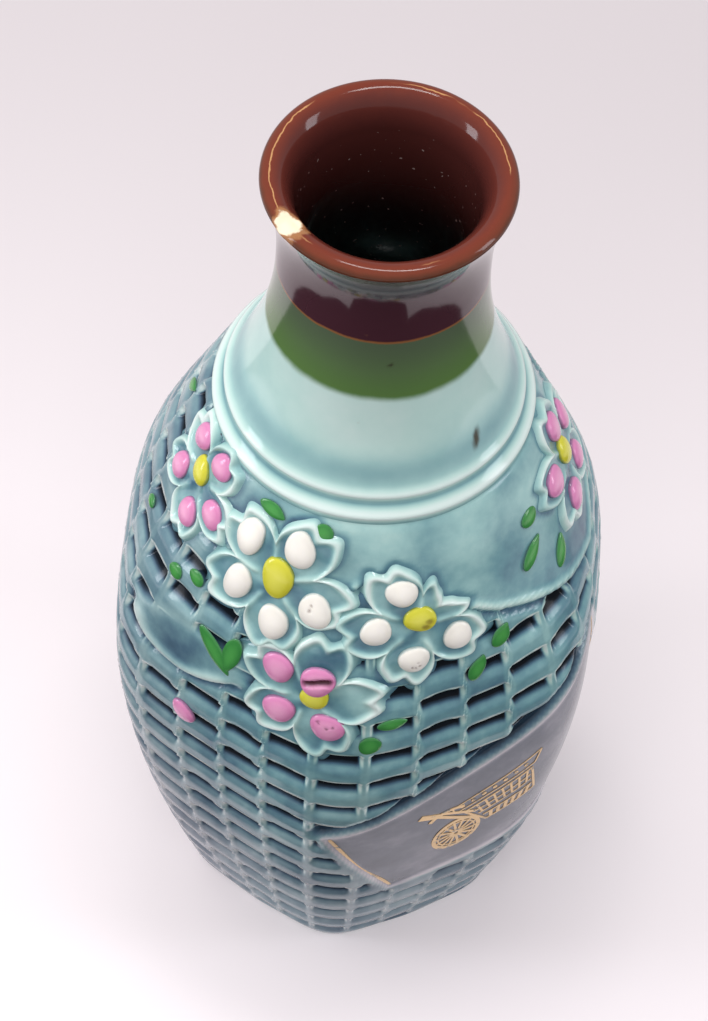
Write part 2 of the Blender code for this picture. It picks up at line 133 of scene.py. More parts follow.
def ramp_stops(node, stops):
    """Give a Color Ramp its (position, hex colour) stops."""
    ramp = node.color_ramp
    while len(ramp.elements) > 1:
        ramp.elements.remove(ramp.elements[0])
    ramp.elements[0].position = stops[0][0]
    ramp.elements[0].color = tint(stops[0][1])
    for place, code in stops[1:]:
        element = ramp.elements.new(place)
        element.color = tint(code)


def new_material(name, roughness, metallic=0.0):
    """A Principled material, its node tree and its shader."""
    material = bpy.data.materials.new(name)
    material.use_nodes = True
    tree = material.node_tree
    shader = tree.nodes["Principled BSDF"]
    shader.inputs["Roughness"].default_value = roughness
    shader.inputs["Metallic"].default_value = metallic
    shader.inputs["IOR"].default_value = GLAZE_IOR
    return material, tree, shader


def smooth_step(low, high, value):
    """0 below low, 1 above high, and a soft slope between."""
    share = np.clip((value - low) / (high - low), 0.0, 1.0)
    return share * share * (3.0 - 2.0 * share)


# %% [markdown]
# ## The wall as a formula
# A thrown or cast bottle is a run of a few bows: foot to belly, belly to shoulder, shoulder to neck and
# neck to lip. Each bow is a power curve. A power mean of three widths turns the round section into a
# soft hexagon lower down, with one corner to the front.

# %% The wall
FACE_AZIMUTHS = (30.0, 90.0, 150.0)
HEXAGON_TOP = 150.0 * MM
HEXAGON_FULL = 80.0 * MM
ROUND_POWER = 2.0
HEXAGON_POWER = 9.0


def bowed(start, end, share, power):
    """Run from start to end, leaving start slowly."""
    return start + (end - start) * np.clip(share, 0.0, 1.0) ** power


def flat_half_width(z):
    """Half-width of the outer wall across the flats at height z."""
    z = np.asarray(z, dtype=float)
    foot = bowed(BELLY_HALF_WIDTH, FOOT_HALF_WIDTH, (BELLY_HEIGHT - z) / BELLY_HEIGHT, 1.7)
    shoulder = bowed(BELLY_HALF_WIDTH, RING_RADIUS, (z - BELLY_HEIGHT) / (RING_HEIGHT - BELLY_HEIGHT), 2.1)
    neck = bowed(NECK_RADIUS, RING_RADIUS, (WAIST - z) / (WAIST - RING_HEIGHT), 2.2)
    lip = bowed(NECK_RADIUS, LIP_RADIUS, (z - WAIST) / LIP_FLARE_HEIGHT, 2.4)
    return np.select([z < BELLY_HEIGHT, z < RING_HEIGHT, z < WAIST], [foot, shoulder, neck], lip)


def hexagon_factor(azimuth, z):
    """Radius at an azimuth as a multiple of the half-width across the flats."""
    blend = smooth_step(0.0, 1.0, (HEXAGON_TOP - z) / (HEXAGON_TOP - HEXAGON_FULL))
    power = ROUND_POWER + (HEXAGON_POWER - ROUND_POWER) * blend
    total = sum(np.abs(np.cos(np.radians(azimuth - face))) ** power for face in FACE_AZIMUTHS)
    return (total / (1.0 + 2.0 * 0.5 ** power)) ** (-1.0 / power)


def wall_point(azimuth, z, lift=0.0):
    """Points on the wall, azimuth in degrees from the front corner."""
    radius = flat_half_width(z) * hexagon_factor(azimuth, z) + lift
    turn = np.radians(azimuth)
    return np.stack([radius * np.sin(turn), -radius * np.cos(turn), np.asarray(z, float) + 0.0 * turn], -1)


def wall_normal(azimuth, z):
    """Outward directions of the wall."""
    step = 0.2
    along = wall_point(azimuth + step, z) - wall_point(azimuth - step, z)
    up = wall_point(azimuth, z + step * MM) - wall_point(azimuth, z - step * MM)
    out = np.cross(along, up)
    return out / np.linalg.norm(out, axis=-1, keepdims=True)


def azimuth_of(points):
    return np.degrees(np.arctan2(points[..., 0], -points[..., 1]))


print("belly radius at a corner: %.1f mm" % (np.linalg.norm(wall_point(0.0, BELLY_HEIGHT)[:2]) / MM))

# %% [markdown]
# ## Pressing a sprig onto the wall
# A potter makes a petal flat and presses it on. So every applied piece is modelled flat, with x and y
# along the wall and z out of it, and this function lays it on: each point slides inwards until it
# meets the wall, then stands off along the wall's own direction.

# %% Press flat work onto the wall
def tangent_frame(azimuth, z):
    """Origin on the wall with its level, upward and outward directions."""
    out = wall_normal(azimuth, z)
    up = np.array([0.0, 0.0, 1.0]) - out * out[2]
    up /= np.linalg.norm(up)
    return wall_point(azimuth, z), np.cross(up, out), up, out


def press_points(flat, azimuth, height, turn=0.0):
    """World positions of flat-modelled points pressed on around (azimuth, height)."""
    origin, level, up, out = tangent_frame(azimuth, height)
    cos_turn, sin_turn = math.cos(math.radians(turn)), math.sin(math.radians(turn))
    x = flat[:, 0] * cos_turn - flat[:, 1] * sin_turn
    y = flat[:, 0] * sin_turn + flat[:, 1] * cos_turn
    plane = origin + x[:, None] * level + y[:, None] * up
    near = np.full(len(flat), -14.0 * MM)
    far = np.full(len(flat), 14.0 * MM)
    for _ in range(26):
        middle = 0.5 * (near + far)
        here = plane - middle[:, None] * out
        radius = np.linalg.norm(wall_point(azimuth_of(here), here[:, 2])[:, :2], axis=1)
        outside = np.hypot(here[:, 0], here[:, 1]) > radius
        near = np.where(outside, middle, near)
        far = np.where(outside, far, middle)
    spot = plane - near[:, None] * out
    return spot + wall_normal(azimuth_of(spot), spot[:, 2]) * flat[:, 2:3]


def read_points(mesh):
    coords = np.empty(len(mesh.vertices) * 3)
    mesh.vertices.foreach_get("co", coords)
    return coords.reshape(-1, 3)


def write_points(mesh, coords):
    mesh.vertices.foreach_set("co", np.ascontiguousarray(coords, dtype=np.float32).ravel())
    mesh.update()


def write_attribute(mesh, name, values):
    layer = mesh.attributes.new(name, "FLOAT", "POINT")
    layer.data.foreach_set("value", np.ascontiguousarray(values, dtype=np.float32))


def make_piece(bm, name, material, replaces, sharp_angle=50.0):
    """Turn a bmesh into a smooth piece that rides on the bottle and stands for CAD nodes."""
    mesh = bpy.data.meshes.new(name)
    bm.to_mesh(mesh)
    bm.free()
    mesh.materials.append(material)
    mesh.shade_smooth()
    mesh.set_sharp_from_angle(angle=math.radians(sharp_angle))
    piece = bpy.data.objects.new(name, mesh)
    bpy.context.scene.collection.objects.link(piece)
    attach(piece, "root")
    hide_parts(*replaces)
    return piece


print("pressing helpers ready")

# %% [markdown]
# ## The woven relief
# The mould was carved like a basket: thirty upright columns, and in each one a ladder of dark slots
# between level strands. A slot has a sharp upper edge, and its floor slopes back out below, like
# shingles. Neighbouring columns are half a slot out of step, as in a plain weave, except at the
# hexagon's corners. The slots are spaced evenly along the wall, not by height.

# %% Where the strands and slots run
COLUMN_ANGLE = 12.0
SLOT_PITCH = 8.25 * MM
SLOT_DATUM = 96.0 * MM
SLOT_DEPTH = 1.7 * MM
SLOT_EDGE = 0.25               # share of the pitch from a slot's middle up to its sharp edge
SLOT_SLOPE = 0.66              # share of the pitch over which the slot's floor slopes back out
STRAND_PROUD = 0.22 * MM
STAKE_PROUD = 0.24 * MM
STAKE_HALF_WIDTH = 0.20        # share of the column's half-width
OUT_OF_STEP = (2, 4, 5, 6, 8)  # columns of every ten that start half a slot later
EDGE_DROOP = 0.40              # how far a slot's upper edge droops toward its sides
LIP_SHARE = 0.09               # share of the pitch over which the upper edge falls into the slot
FLAT_SHARE = 0.12              # share of the pitch where the slot's floor is deepest
STRAND_START = 0.38            # share of the pitch below the edge where a strand begins to swell
BROW_PROUD = 0.22 * MM         # the fine bead along the upper edge
BROW_SHARE = 0.10

heights = np.linspace(0.0, RING_HEIGHT, 600)
rises = np.diff(heights)
runs = np.diff(flat_half_width(heights))
arc_table = np.concatenate([[0.0], np.cumsum(np.hypot(rises, runs))])


def arc_at(z):
    """Length along the wall from the foot up to height z."""
    return np.interp(z, heights, arc_table)


def scatter(first, second):
    """A repeatable number from 0 to 1 for each pair of whole numbers."""
    value = np.sin(first * 12.9898 + second * 78.233) * 43758.5453
    return value - np.floor(value)


def weave_cell(azimuth, z):
    """Column number, place across the column (-1 to 1) and place in the slot's pitch (-0.5 to 0.5)."""
    column = np.floor((azimuth + 0.5 * COLUMN_ANGLE) / COLUMN_ANGLE)
    across = 2.0 * ((azimuth + 0.5 * COLUMN_ANGLE) / COLUMN_ANGLE - column - 0.5)
    late = np.isin(np.mod(column, 10), OUT_OF_STEP)
    row = (arc_at(z) - arc_at(SLOT_DATUM)) / SLOT_PITCH + np.where(late, 0.5, 0.0)
    return column, across, row - np.round(row), np.round(row)


def weave_relief(azimuth, z):
    """Height of the weave over the plain wall, place across the column, and turn from the slot's edge."""
    column, across, place, row = weave_cell(azimuth, z)
    side = np.abs(across)
    uneven = 0.93 + 0.14 * scatter(row, column + 7.0)
    edge = SLOT_EDGE * (1.0 - EDGE_DROOP * side ** 3) * uneven
    above = place - edge
    above -= np.round(above)                # 0 on the edge, negative down the slot's floor
    fall = np.mod(-above, 1.0)
    hollow = smooth_step(0.0, LIP_SHARE, fall) * (1.0 - smooth_step(FLAT_SHARE, SLOT_SLOPE, fall))
    within = smooth_step(0.90, 0.70, side)
    swell = np.clip((fall - STRAND_START) / (1.0 - STRAND_START), 0.0, 1.0)
    strand = STRAND_PROUD * np.sin(math.pi * swell)
    brow = BROW_PROUD * np.exp(-(np.minimum(1.0 - fall, 4.0 * fall) / BROW_SHARE) ** 2)
    stake = STAKE_PROUD * np.exp(-((1.0 - side) / STAKE_HALF_WIDTH) ** 2)
    brow *= smooth_step(1.0, 0.84, side)
    return within * (strand - SLOT_DEPTH * hollow) + brow + stake, side, 2.0 * math.pi * above


print("rows of slots up the wall:", int(arc_at(SEAM) / SLOT_PITCH))

# %% [markdown]
# ## Smooth places in the weave
# A cloth-like drape hangs from the rings over the front and right shoulder, a small leaf of smooth clay
# lies low on the left, and a sunk panel crosses the right-hand face. Each is a signed distance in
# metres: positive inside the smooth place, so one slope makes both the step and its raised edge.

# %% Drape, leaf and foot band
DRAPE_EDGE = ((-74.0, 152.0), (-60.0, 145.0), (-46.0, 136.0), (-34.0, 129.0), (-24.0, 127.0), (-10.0, 128.0),
              (0.0, 134.0), (7.0, 137.2), (14.0, 134.8), (20.0, 132.4), (31.0, 128.4), (42.0, 124.0),
              (53.0, 121.0), (67.0, 117.4), (82.0, 114.5), (98.0, 122.0), (112.0, 134.0), (120.0, 150.0))
LEAF_AZIMUTH = -44.0
LEAF_HEIGHT = 105.5 * MM
LEAF_HALF_LENGTH = 13.5 * MM
LEAF_HALF_WIDTH = 5.6 * MM
LEAF_TURN = 8.0
FOOT_BAND = 3.6 * MM
STEP_WIDTH = 0.7 * MM


def drape_distance(azimuth, z):
    above_all = 160.0 * MM
    edge = np.interp(azimuth, [turn for turn, _ in DRAPE_EDGE], [height * MM for _, height in DRAPE_EDGE],
                     above_all, above_all)
    return (z - edge) * 1.1


def leaf_distance(azimuth, z):
    level = np.radians(azimuth - LEAF_AZIMUTH) * BELLY_HALF_WIDTH
    rise = z - LEAF_HEIGHT
    turn = math.radians(LEAF_TURN)
    x = level * math.cos(turn) + rise * math.sin(turn)
    y = rise * math.cos(turn) - level * math.sin(turn)
    shape = np.abs(x / LEAF_HALF_LENGTH) ** 1.5 + np.abs(y / LEAF_HALF_WIDTH) ** 1.8
    return (1.0 - shape) * 0.6 * LEAF_HALF_WIDTH


# %% The sunk panel
PANEL_CORNERS = ((16.0, 32.5), (90.0, 55.0), (-3.0, 66.0), (77.0, 99.0))
PANEL_SAG = 0.13
PANEL_SINK = 0.55 * MM
GROOVE_DEPTH = 1.9 * MM
GROOVE_WIDTH = 3.4 * MM


def panel_place(along, rise):
    """Azimuth and height of the panel's point at shares along and up it."""
    corners = [np.array(corner) for corner in PANEL_CORNERS]
    low = corners[0] + (corners[1] - corners[0]) * along[..., None]
    high = corners[2] + (corners[3] - corners[2]) * along[..., None]
    place = low + (high - low) * rise[..., None]
    return place[..., 0], place[..., 1] * MM


def panel_shares(azimuth, z):
    """Shares along and up the panel of points on the wall, by a few Newton steps."""
    along = np.full(np.shape(azimuth), 0.5)
    rise = np.full(np.shape(azimuth), 0.5)
    small = 0.001
    for _ in range(7):
        a0, z0 = panel_place(along, rise)
        a1, z1 = panel_place(along + small, rise)
        a2, z2 = panel_place(along, rise + small)
        m11, m12 = (a1 - a0) / small, (a2 - a0) / small
        m21, m22 = (z1 - z0) / small, (z2 - z0) / small
        det = m11 * m22 - m12 * m21
        det = np.where(np.abs(det) < 1e-9, 1e-9, det)
        da, dz = azimuth - a0, z - z0
        along = np.clip(along + (m22 * da - m12 * dz) / det, -1.5, 2.5)
        rise = np.clip(rise + (m11 * dz - m21 * da) / det, -1.5, 2.5)
    sag = PANEL_SAG * np.clip(4.0 * along * (1.0 - along), 0.0, 1.0)
    return along, (rise + sag) / (1.0 + sag)


PANEL_LENGTH = 62.0 * MM
PANEL_WIDTH = 38.0 * MM


def panel_relief(azimuth, z):
    """Share that belongs to the panel, its height, its groove's share, and distance inside its edge."""
    along, rise = panel_shares(azimuth, z)
    from_ends = np.minimum(along, 1.0 - along) * PANEL_LENGTH
    from_top = (1.0 - rise) * PANEL_WIDTH
    from_bottom = rise * PANEL_WIDTH
    inside = np.minimum(np.minimum(from_ends, from_top), from_bottom)
    level = -PANEL_SINK + 0.35 * MM * np.exp(-(inside / (0.8 * MM)) ** 2)
    across_groove = (from_top + 0.55 * GROOVE_WIDTH) / (0.5 * GROOVE_WIDTH)
    groove = smooth_step(-1.5 * MM, 0.5 * MM, from_ends) * np.exp(-across_groove ** 4)
    return smooth_step(-0.9 * MM, 0.3 * MM, inside), level, groove, inside


print("drape, leaf and panel placed")


# %% [markdown]
# ## Five blossoms, as outlines
# Each blossom is one sprig with five notched petals, seen flat. Its outline is a distance from the
# middle for every direction, so the same formula tells the body where to flatten its weave and tells
# the sprig where to raise its rim. A few slow waves make every petal a little different.

# %% Blossom outlines
PETALS = 5
PETAL_NOTCH = 0.11
PETAL_WAIST = 0.52
PINK, WHITE = "pink", "white"
BLOSSOMS = {
    # azimuth, height, turn, reach, colour, where each petal's drop lies (level mm, up mm) or None, the eye
    "blossom_left": (-60.6, 137.4, 60.0, 12.6, PINK,
                     ((3.4, 7.2), (-4.3, 6.8), (-6.1, -2.9), (1.6, -7.1), (6.9, -1.9)), (-0.5, 1.9)),
    "blossom_front": (-22.9, 132.3, 63.0, 15.2, WHITE,
                      ((3.2, 8.5), (-6.4, 6.7), (-6.8, -3.7), (1.6, -8.5), (8.5, -3.0)), (0.5, 1.2)),
    "blossom_right": (17.7, 127.1, 42.0, 14.0, WHITE,
                      (None, (-2.3, 7.5), (-7.2, -0.4), (-0.6, -7.4), (7.7, -4.0)), (0.8, 1.5)),
    "blossom_low": (-8.6, 111.0, 7.0, 14.4, PINK,
                    (None, (1.5, 4.8), (-6.2, 4.8), (-4.9, -5.1), (4.6, -5.9)), (1.4, 0.6)),
    "blossom_side": (88.4, 134.4, 19.0, 13.6, PINK,
                     ((7.4, 2.5), (0.8, 7.4), (-7.2, 1.6), (-3.4, -7.6), (4.6, -6.2)), (0.0, 1.2)),
}
DROP_SIZES = {
    # half-width and half-height of a petal's drop, then of the eye
    "blossom_left": (2.6, 3.0, 2.3, 3.2), "blossom_front": (2.9, 4.0, 3.2, 4.3),
    "blossom_right": (2.9, 3.0, 3.1, 2.8), "blossom_low": (3.3, 3.3, 2.8, 2.7),
    "blossom_side": (2.8, 3.4, 2.5, 3.4),
}
UNDER_DRAPE = {"blossom_right": 0}      # the petal whose tip runs under the smooth drape
PETAL_ANGLE = 360.0 / PETALS
COVERED_SHARE = 0.42                    # how much of that petal's length is covered


def petal_outline(name, angle):
    """Distance in metres from a blossom's middle to its edge in each direction (radians)."""
    turn, reach = BLOSSOMS[name][2:4]
    order = list(BLOSSOMS).index(name)
    local = angle - math.radians(turn)
    from_tip = np.abs(np.mod(local + math.pi / PETALS, 2.0 * math.pi / PETALS) - math.pi / PETALS)
    lobe = np.cos(0.5 * PETALS * from_tip) ** 0.55
    notch = PETAL_NOTCH * np.exp(-(from_tip / 0.10) ** 2) - 0.03 * np.exp(-((from_tip - 0.2) / 0.09) ** 2)
    from_hidden = local - math.radians(PETAL_ANGLE * UNDER_DRAPE.get(name, -1))
    hidden = np.mod(from_hidden + math.pi, 2.0 * math.pi) - math.pi
    share = 1.0 - COVERED_SHARE * np.exp(-(hidden / 0.42) ** 4) * (name in UNDER_DRAPE)
    waves = 0.035 * np.sin(2.0 * local + 1.7 * order) + 0.02 * np.sin(7.0 * local + 2.3 * order)
    return share * reach * MM * (PETAL_WAIST + (1.0 - PETAL_WAIST) * lobe - notch) * (1.0 + waves)


def blossom_distance(name, points):
    """How far inside a blossom's outline each world point lies, seen along the sprig's own normal."""
    azimuth, height = BLOSSOMS[name][:2]
    origin, level, up, out = tangent_frame(azimuth, height * MM)
    offset = points - origin
    x, y = offset @ level, offset @ up
    inside = petal_outline(name, np.arctan2(y, x)) - np.hypot(x, y)
    return np.where(offset @ out > -16.0 * MM, inside, -1.0)


print("blossoms:", ", ".join(BLOSSOMS))

# %% [markdown]
# ## Celadon over a carved relief
# Celadon is a clear blue-green glaze. Over an edge it runs thin and shows the pale clay; in a hollow it
# pools thick and dark. So the colour follows one number, the depth of glaze, that the relief gives:
# near 0 on crests and near 1 in the slots. Round the sprigs, on their skirts and at the neck's rings
# that number also carries painted shade. Fine noise then breaks the even tone, as a kiln does.

# %% Celadon glaze
CELADON_STOPS = ((0.00, "d2e2dd"), (0.16, "b8d6cf"), (0.32, "98bfbd"), (0.50, "6c979e"), (0.66, "496c80"),
                 (0.82, "263a4b"), (1.00, "0c1218"))
LILAC_STOPS = ((0.0, "d6cfd4"), (0.35, "9997a1"), (0.55, "666b78"), (0.8, "39424f"), (1.0, "1a212b"))
POOL_AND_SHADE_DEPTH = 0.58              # how much deeper the glaze is in a slot's pool than on the wall, with painted shade added
THIN_DEPTH = 0.46              # how much thinner it is on a brow
STAKE_DEPTH = 0.06
CHEEK_SHARE = 0.75             # a cheek is this much as thin as a brow
GLAZE_SPECULAR = 0.40
POOL_AND_SHADE_DULLING = 0.34


def object_noise(tree, size_mm, detail=3.0, stretch=(1.0, 1.0, 1.0)):
    """Noise whose features are about size_mm across."""
    coords = add_node(tree, "ShaderNodeTexCoord")
    mapping = add_node(tree, "ShaderNodeMapping", {"Scale": stretch}, {"Vector": coords.outputs["Object"]})
    return add_node(tree, "ShaderNodeTexNoise", {"Scale": 1.0 / (size_mm * MM), "Detail": detail},
                    {"Vector": mapping.outputs["Vector"]})


def add_scaled(tree, value, other, factor, offset=0.0):
    """value + factor * (other - 0.5) + offset, as two Math nodes."""
    scaled = add_node(tree, "ShaderNodeMath", {1: factor, 2: offset - 0.5 * factor}, {0: other},
                      operation="MULTIPLY_ADD")
    total = add_node(tree, "ShaderNodeMath", {}, {0: value, 1: scaled.outputs["Value"]}, operation="ADD")
    return total.outputs["Value"]


def remap(tree, value, start, end, low=0.0, high=1.0):
    """Smooth slope from low at start to high at end."""
    ends = {"From Min": start, "From Max": end, "To Min": low, "To Max": high}
    node = add_node(tree, "ShaderNodeMapRange", ends, {"Value": value}, interpolation_type="SMOOTHSTEP")
    return node.outputs["Result"]


def math_node(tree, operation, first, second, third=None):
    """One Math node. A number fills its socket and anything else is linked."""
    node = add_node(tree, "ShaderNodeMath", operation=operation)
    for key, entry in enumerate((first, second, third)):
        if isinstance(entry, (int, float)):
            node.inputs[key].default_value = entry
        elif entry is not None:
            tree.links.new(entry, node.inputs[key])
    return node.outputs["Value"]


def product(tree, *values):
    """Values multiplied together, two at a time."""
    total = values[0]
    for value in values[1:]:
        total = math_node(tree, "MULTIPLY", total, value)
    return total


def attribute(tree, name):
    return add_node(tree, "ShaderNodeAttribute", attribute_name=name).outputs["Fac"]


def finish_glaze(tree, shader, bump_size_mm=1.6, bump_mm=0.03):
    """A glassy coat with the faint unevenness of a fired glaze."""
    ripple = object_noise(tree, bump_size_mm, 2.0)
    bump = add_node(tree, "ShaderNodeBump", {"Strength": 0.35, "Distance": bump_mm * MM},
                    {"Height": ripple.outputs["Fac"]})
    tree.links.new(bump.outputs["Normal"], shader.inputs["Normal"])


def make_celadon():
    """Transparent celadon over white clay.

    Depth of glaze, with painted shade in places, gives the tone, panel turns it lilac grey, and woven, side
    and the turn from a slot's edge place the dark pooled glaze and painted shade under each upper edge and
    the thin pale glaze on the brow and cheeks round it.
    """
    material, tree, shader = new_material("celadon_glaze", 0.16)
    woven = attribute(tree, "woven")
    side = attribute(tree, "side")
    edge_turn = math_node(tree, "ARCTAN2", attribute(tree, "edge_sine"), attribute(tree, "edge_cosine"))
    from_edge = math_node(tree, "MULTIPLY", edge_turn, 0.5 / math.pi)
    cloudy = add_scaled(tree, attribute(tree, "glaze_and_shade_depth"), object_noise(tree, 11.0, 2.0).outputs["Fac"], 0.50)
    cloudy = add_scaled(tree, cloudy, object_noise(tree, 1.8, 3.0).outputs["Fac"], 0.12)
    across = remap(tree, side, 0.84, 0.68)
    below_edge = math_node(tree, "LESS_THAN", from_edge, 0.25)
    # Pooled glaze and painted shade: a dark band just under each slot's upper edge, where the slot lies in
    # shadow; its shine is dulled too.
    pool_and_shade = product(tree, remap(tree, from_edge, -0.008, -0.04), remap(tree, from_edge, -0.50, -0.28),
                   across, below_edge, woven)
    brow = product(tree, remap(tree, from_edge, 0.07, 0.02), remap(tree, from_edge, -0.03, 0.0),
                   remap(tree, side, 0.98, 0.84))
    cheek = product(tree, remap(tree, side, 0.74, 0.83), remap(tree, side, 0.96, 0.86),
                    remap(tree, from_edge, -0.46, -0.20), remap(tree, from_edge, 0.06, 0.0), CHEEK_SHARE)
    thin = product(tree, math_node(tree, "MAXIMUM", brow, cheek), woven)
    stake = product(tree, remap(tree, side, 0.74, 0.90), woven)
    shine = math_node(tree, "MULTIPLY_ADD", pool_and_shade, -POOL_AND_SHADE_DULLING, GLAZE_SPECULAR)
    tree.links.new(shine, shader.inputs["Specular IOR Level"])
    tone = math_node(tree, "MULTIPLY_ADD", pool_and_shade, POOL_AND_SHADE_DEPTH, cloudy)
    tone = math_node(tree, "MULTIPLY_ADD", thin, -THIN_DEPTH, tone)
    tone = math_node(tree, "MULTIPLY_ADD", stake, -STAKE_DEPTH, tone)
    celadon = add_node(tree, "ShaderNodeValToRGB", {}, {"Fac": tone})
    ramp_stops(celadon, CELADON_STOPS)
    lilac = add_node(tree, "ShaderNodeValToRGB", {}, {"Fac": tone})
    ramp_stops(lilac, LILAC_STOPS)
    layers = {"Factor": attribute(tree, "panel"), 6: celadon.outputs["Color"], 7: lilac.outputs["Color"]}
    colour = add_node(tree, "ShaderNodeMix", {}, layers, data_type="RGBA")
    tree.links.new(colour.outputs[2], shader.inputs["Base Color"])
    finish_glaze(tree, shader)
    return material


celadon_glaze = make_celadon()
print("finish:", celadon_glaze.name)

# %% [markdown]
# ## The woven body
# The body is one closed shell: foot, outer wall, the joint under the neck and the inside. A section is
# spun round the axis, fourteen steps to a column, and then every point of the outer wall is pressed to
# the hexagon and moved in or out by the relief. That way the carving is real shape, not only shading.

# %% Spin the shell
STEPS_PER_COLUMN = 14
COLUMNS = 30
ROW_STEP = 0.75 * MM


def spin_section(section, steps, ring=False):
    """Spin (radius, height) points round the Z axis into a closed bmesh. A ring's ends are joined."""
    bm = bmesh.new()
    row = [bm.verts.new((0.0, -radius, z)) for radius, z in section]
    edges = [bm.edges.new(pair) for pair in zip(row, row[1:] + (row[:1] if ring else []))]
    bmesh.ops.spin(bm, geom=row + edges, cent=(0, 0, 0), axis=(0, 0, 1), angle=2.0 * math.pi, steps=steps,
                   use_merge=True)
    bmesh.ops.remove_doubles(bm, verts=bm.verts, dist=0.002 * MM)
    bmesh.ops.recalc_face_normals(bm, faces=bm.faces)
    return bm


def woven_section():
    """Section of the body from the middle of the underside, up the outside, down the inside."""
    foot_inner = FOOT_HALF_WIDTH - FOOT_EDGE - FOOT_RING_WIDTH
    rows = int(arc_at(SEAM) / ROW_STEP)
    outer = np.interp(np.linspace(0.0, arc_at(SEAM), rows), arc_table, heights)
    section = [(0.0, FOOT_RECESS), (0.5 * foot_inner, FOOT_RECESS), (foot_inner - FOOT_RECESS, FOOT_RECESS),
               (foot_inner, 0.0)]
    section += [(float(flat_half_width(z)), float(z)) for z in outer]
    inside = FOOT_RECESS + FLOOR
    for z in np.linspace(SEAM, inside + 2.0 * WALL, 9):
        section.append((float(flat_half_width(z)) - WALL, float(z)))
    section.append((float(flat_half_width(inside)) - 3.0 * WALL, inside))
    section.append((0.0, inside))
    return section


body_bm = spin_section(woven_section(), COLUMNS * STEPS_PER_COLUMN)
print("woven body:", len(body_bm.verts), "points")

# %% [markdown]
# ## Carving it
# All the smooth places cut through the weave with a soft step. The function below gathers them for any
# points of the wall and tells how far to move each point and, by name, what its glaze needs to know:
# how deep it lies, with painted shade round the sprigs, how lilac it is, whether it covers weave, and
# where in a slot the point is.

# %% Carve the wall
RIDGE_SWAY = 0.10
HEM_PROUD = 0.60 * MM          # raised edge of the smooth places
HEM_HALF_WIDTH = 0.9 * MM
GULLY_DEPTH = 0.9 * MM         # furrow just outside that edge
WOVEN_GLAZE = 0.50             # depth of glaze on plain weave
PANEL_GLAZE = 0.57             # and on the panel
GROOVE_GLAZE = 0.86            # and in the panel's groove
LOW_LILAC = 0.60               # how lilac the wall turns toward the foot
LEFT_LILAC = 0.36              # and toward the left


def sway_azimuth(azimuth, z):
    """Azimuth with the upright ridges swaying round the slots, as stakes do in a weave."""
    boundary = np.round(azimuth / COLUMN_ANGLE + 0.5)
    row = (arc_at(z) - arc_at(SLOT_DATUM)) / SLOT_PITCH
    left = np.cos(2.0 * math.pi * (row + 0.5 * np.isin(np.mod(boundary - 1, 10), OUT_OF_STEP)))
    right = np.cos(2.0 * math.pi * (row + 0.5 * np.isin(np.mod(boundary, 10), OUT_OF_STEP)))
    near = 1.0 - np.abs(azimuth / COLUMN_ANGLE + 0.5 - boundary) * 2.0
    return azimuth - 0.25 * RIDGE_SWAY * (left - right) * near * COLUMN_ANGLE


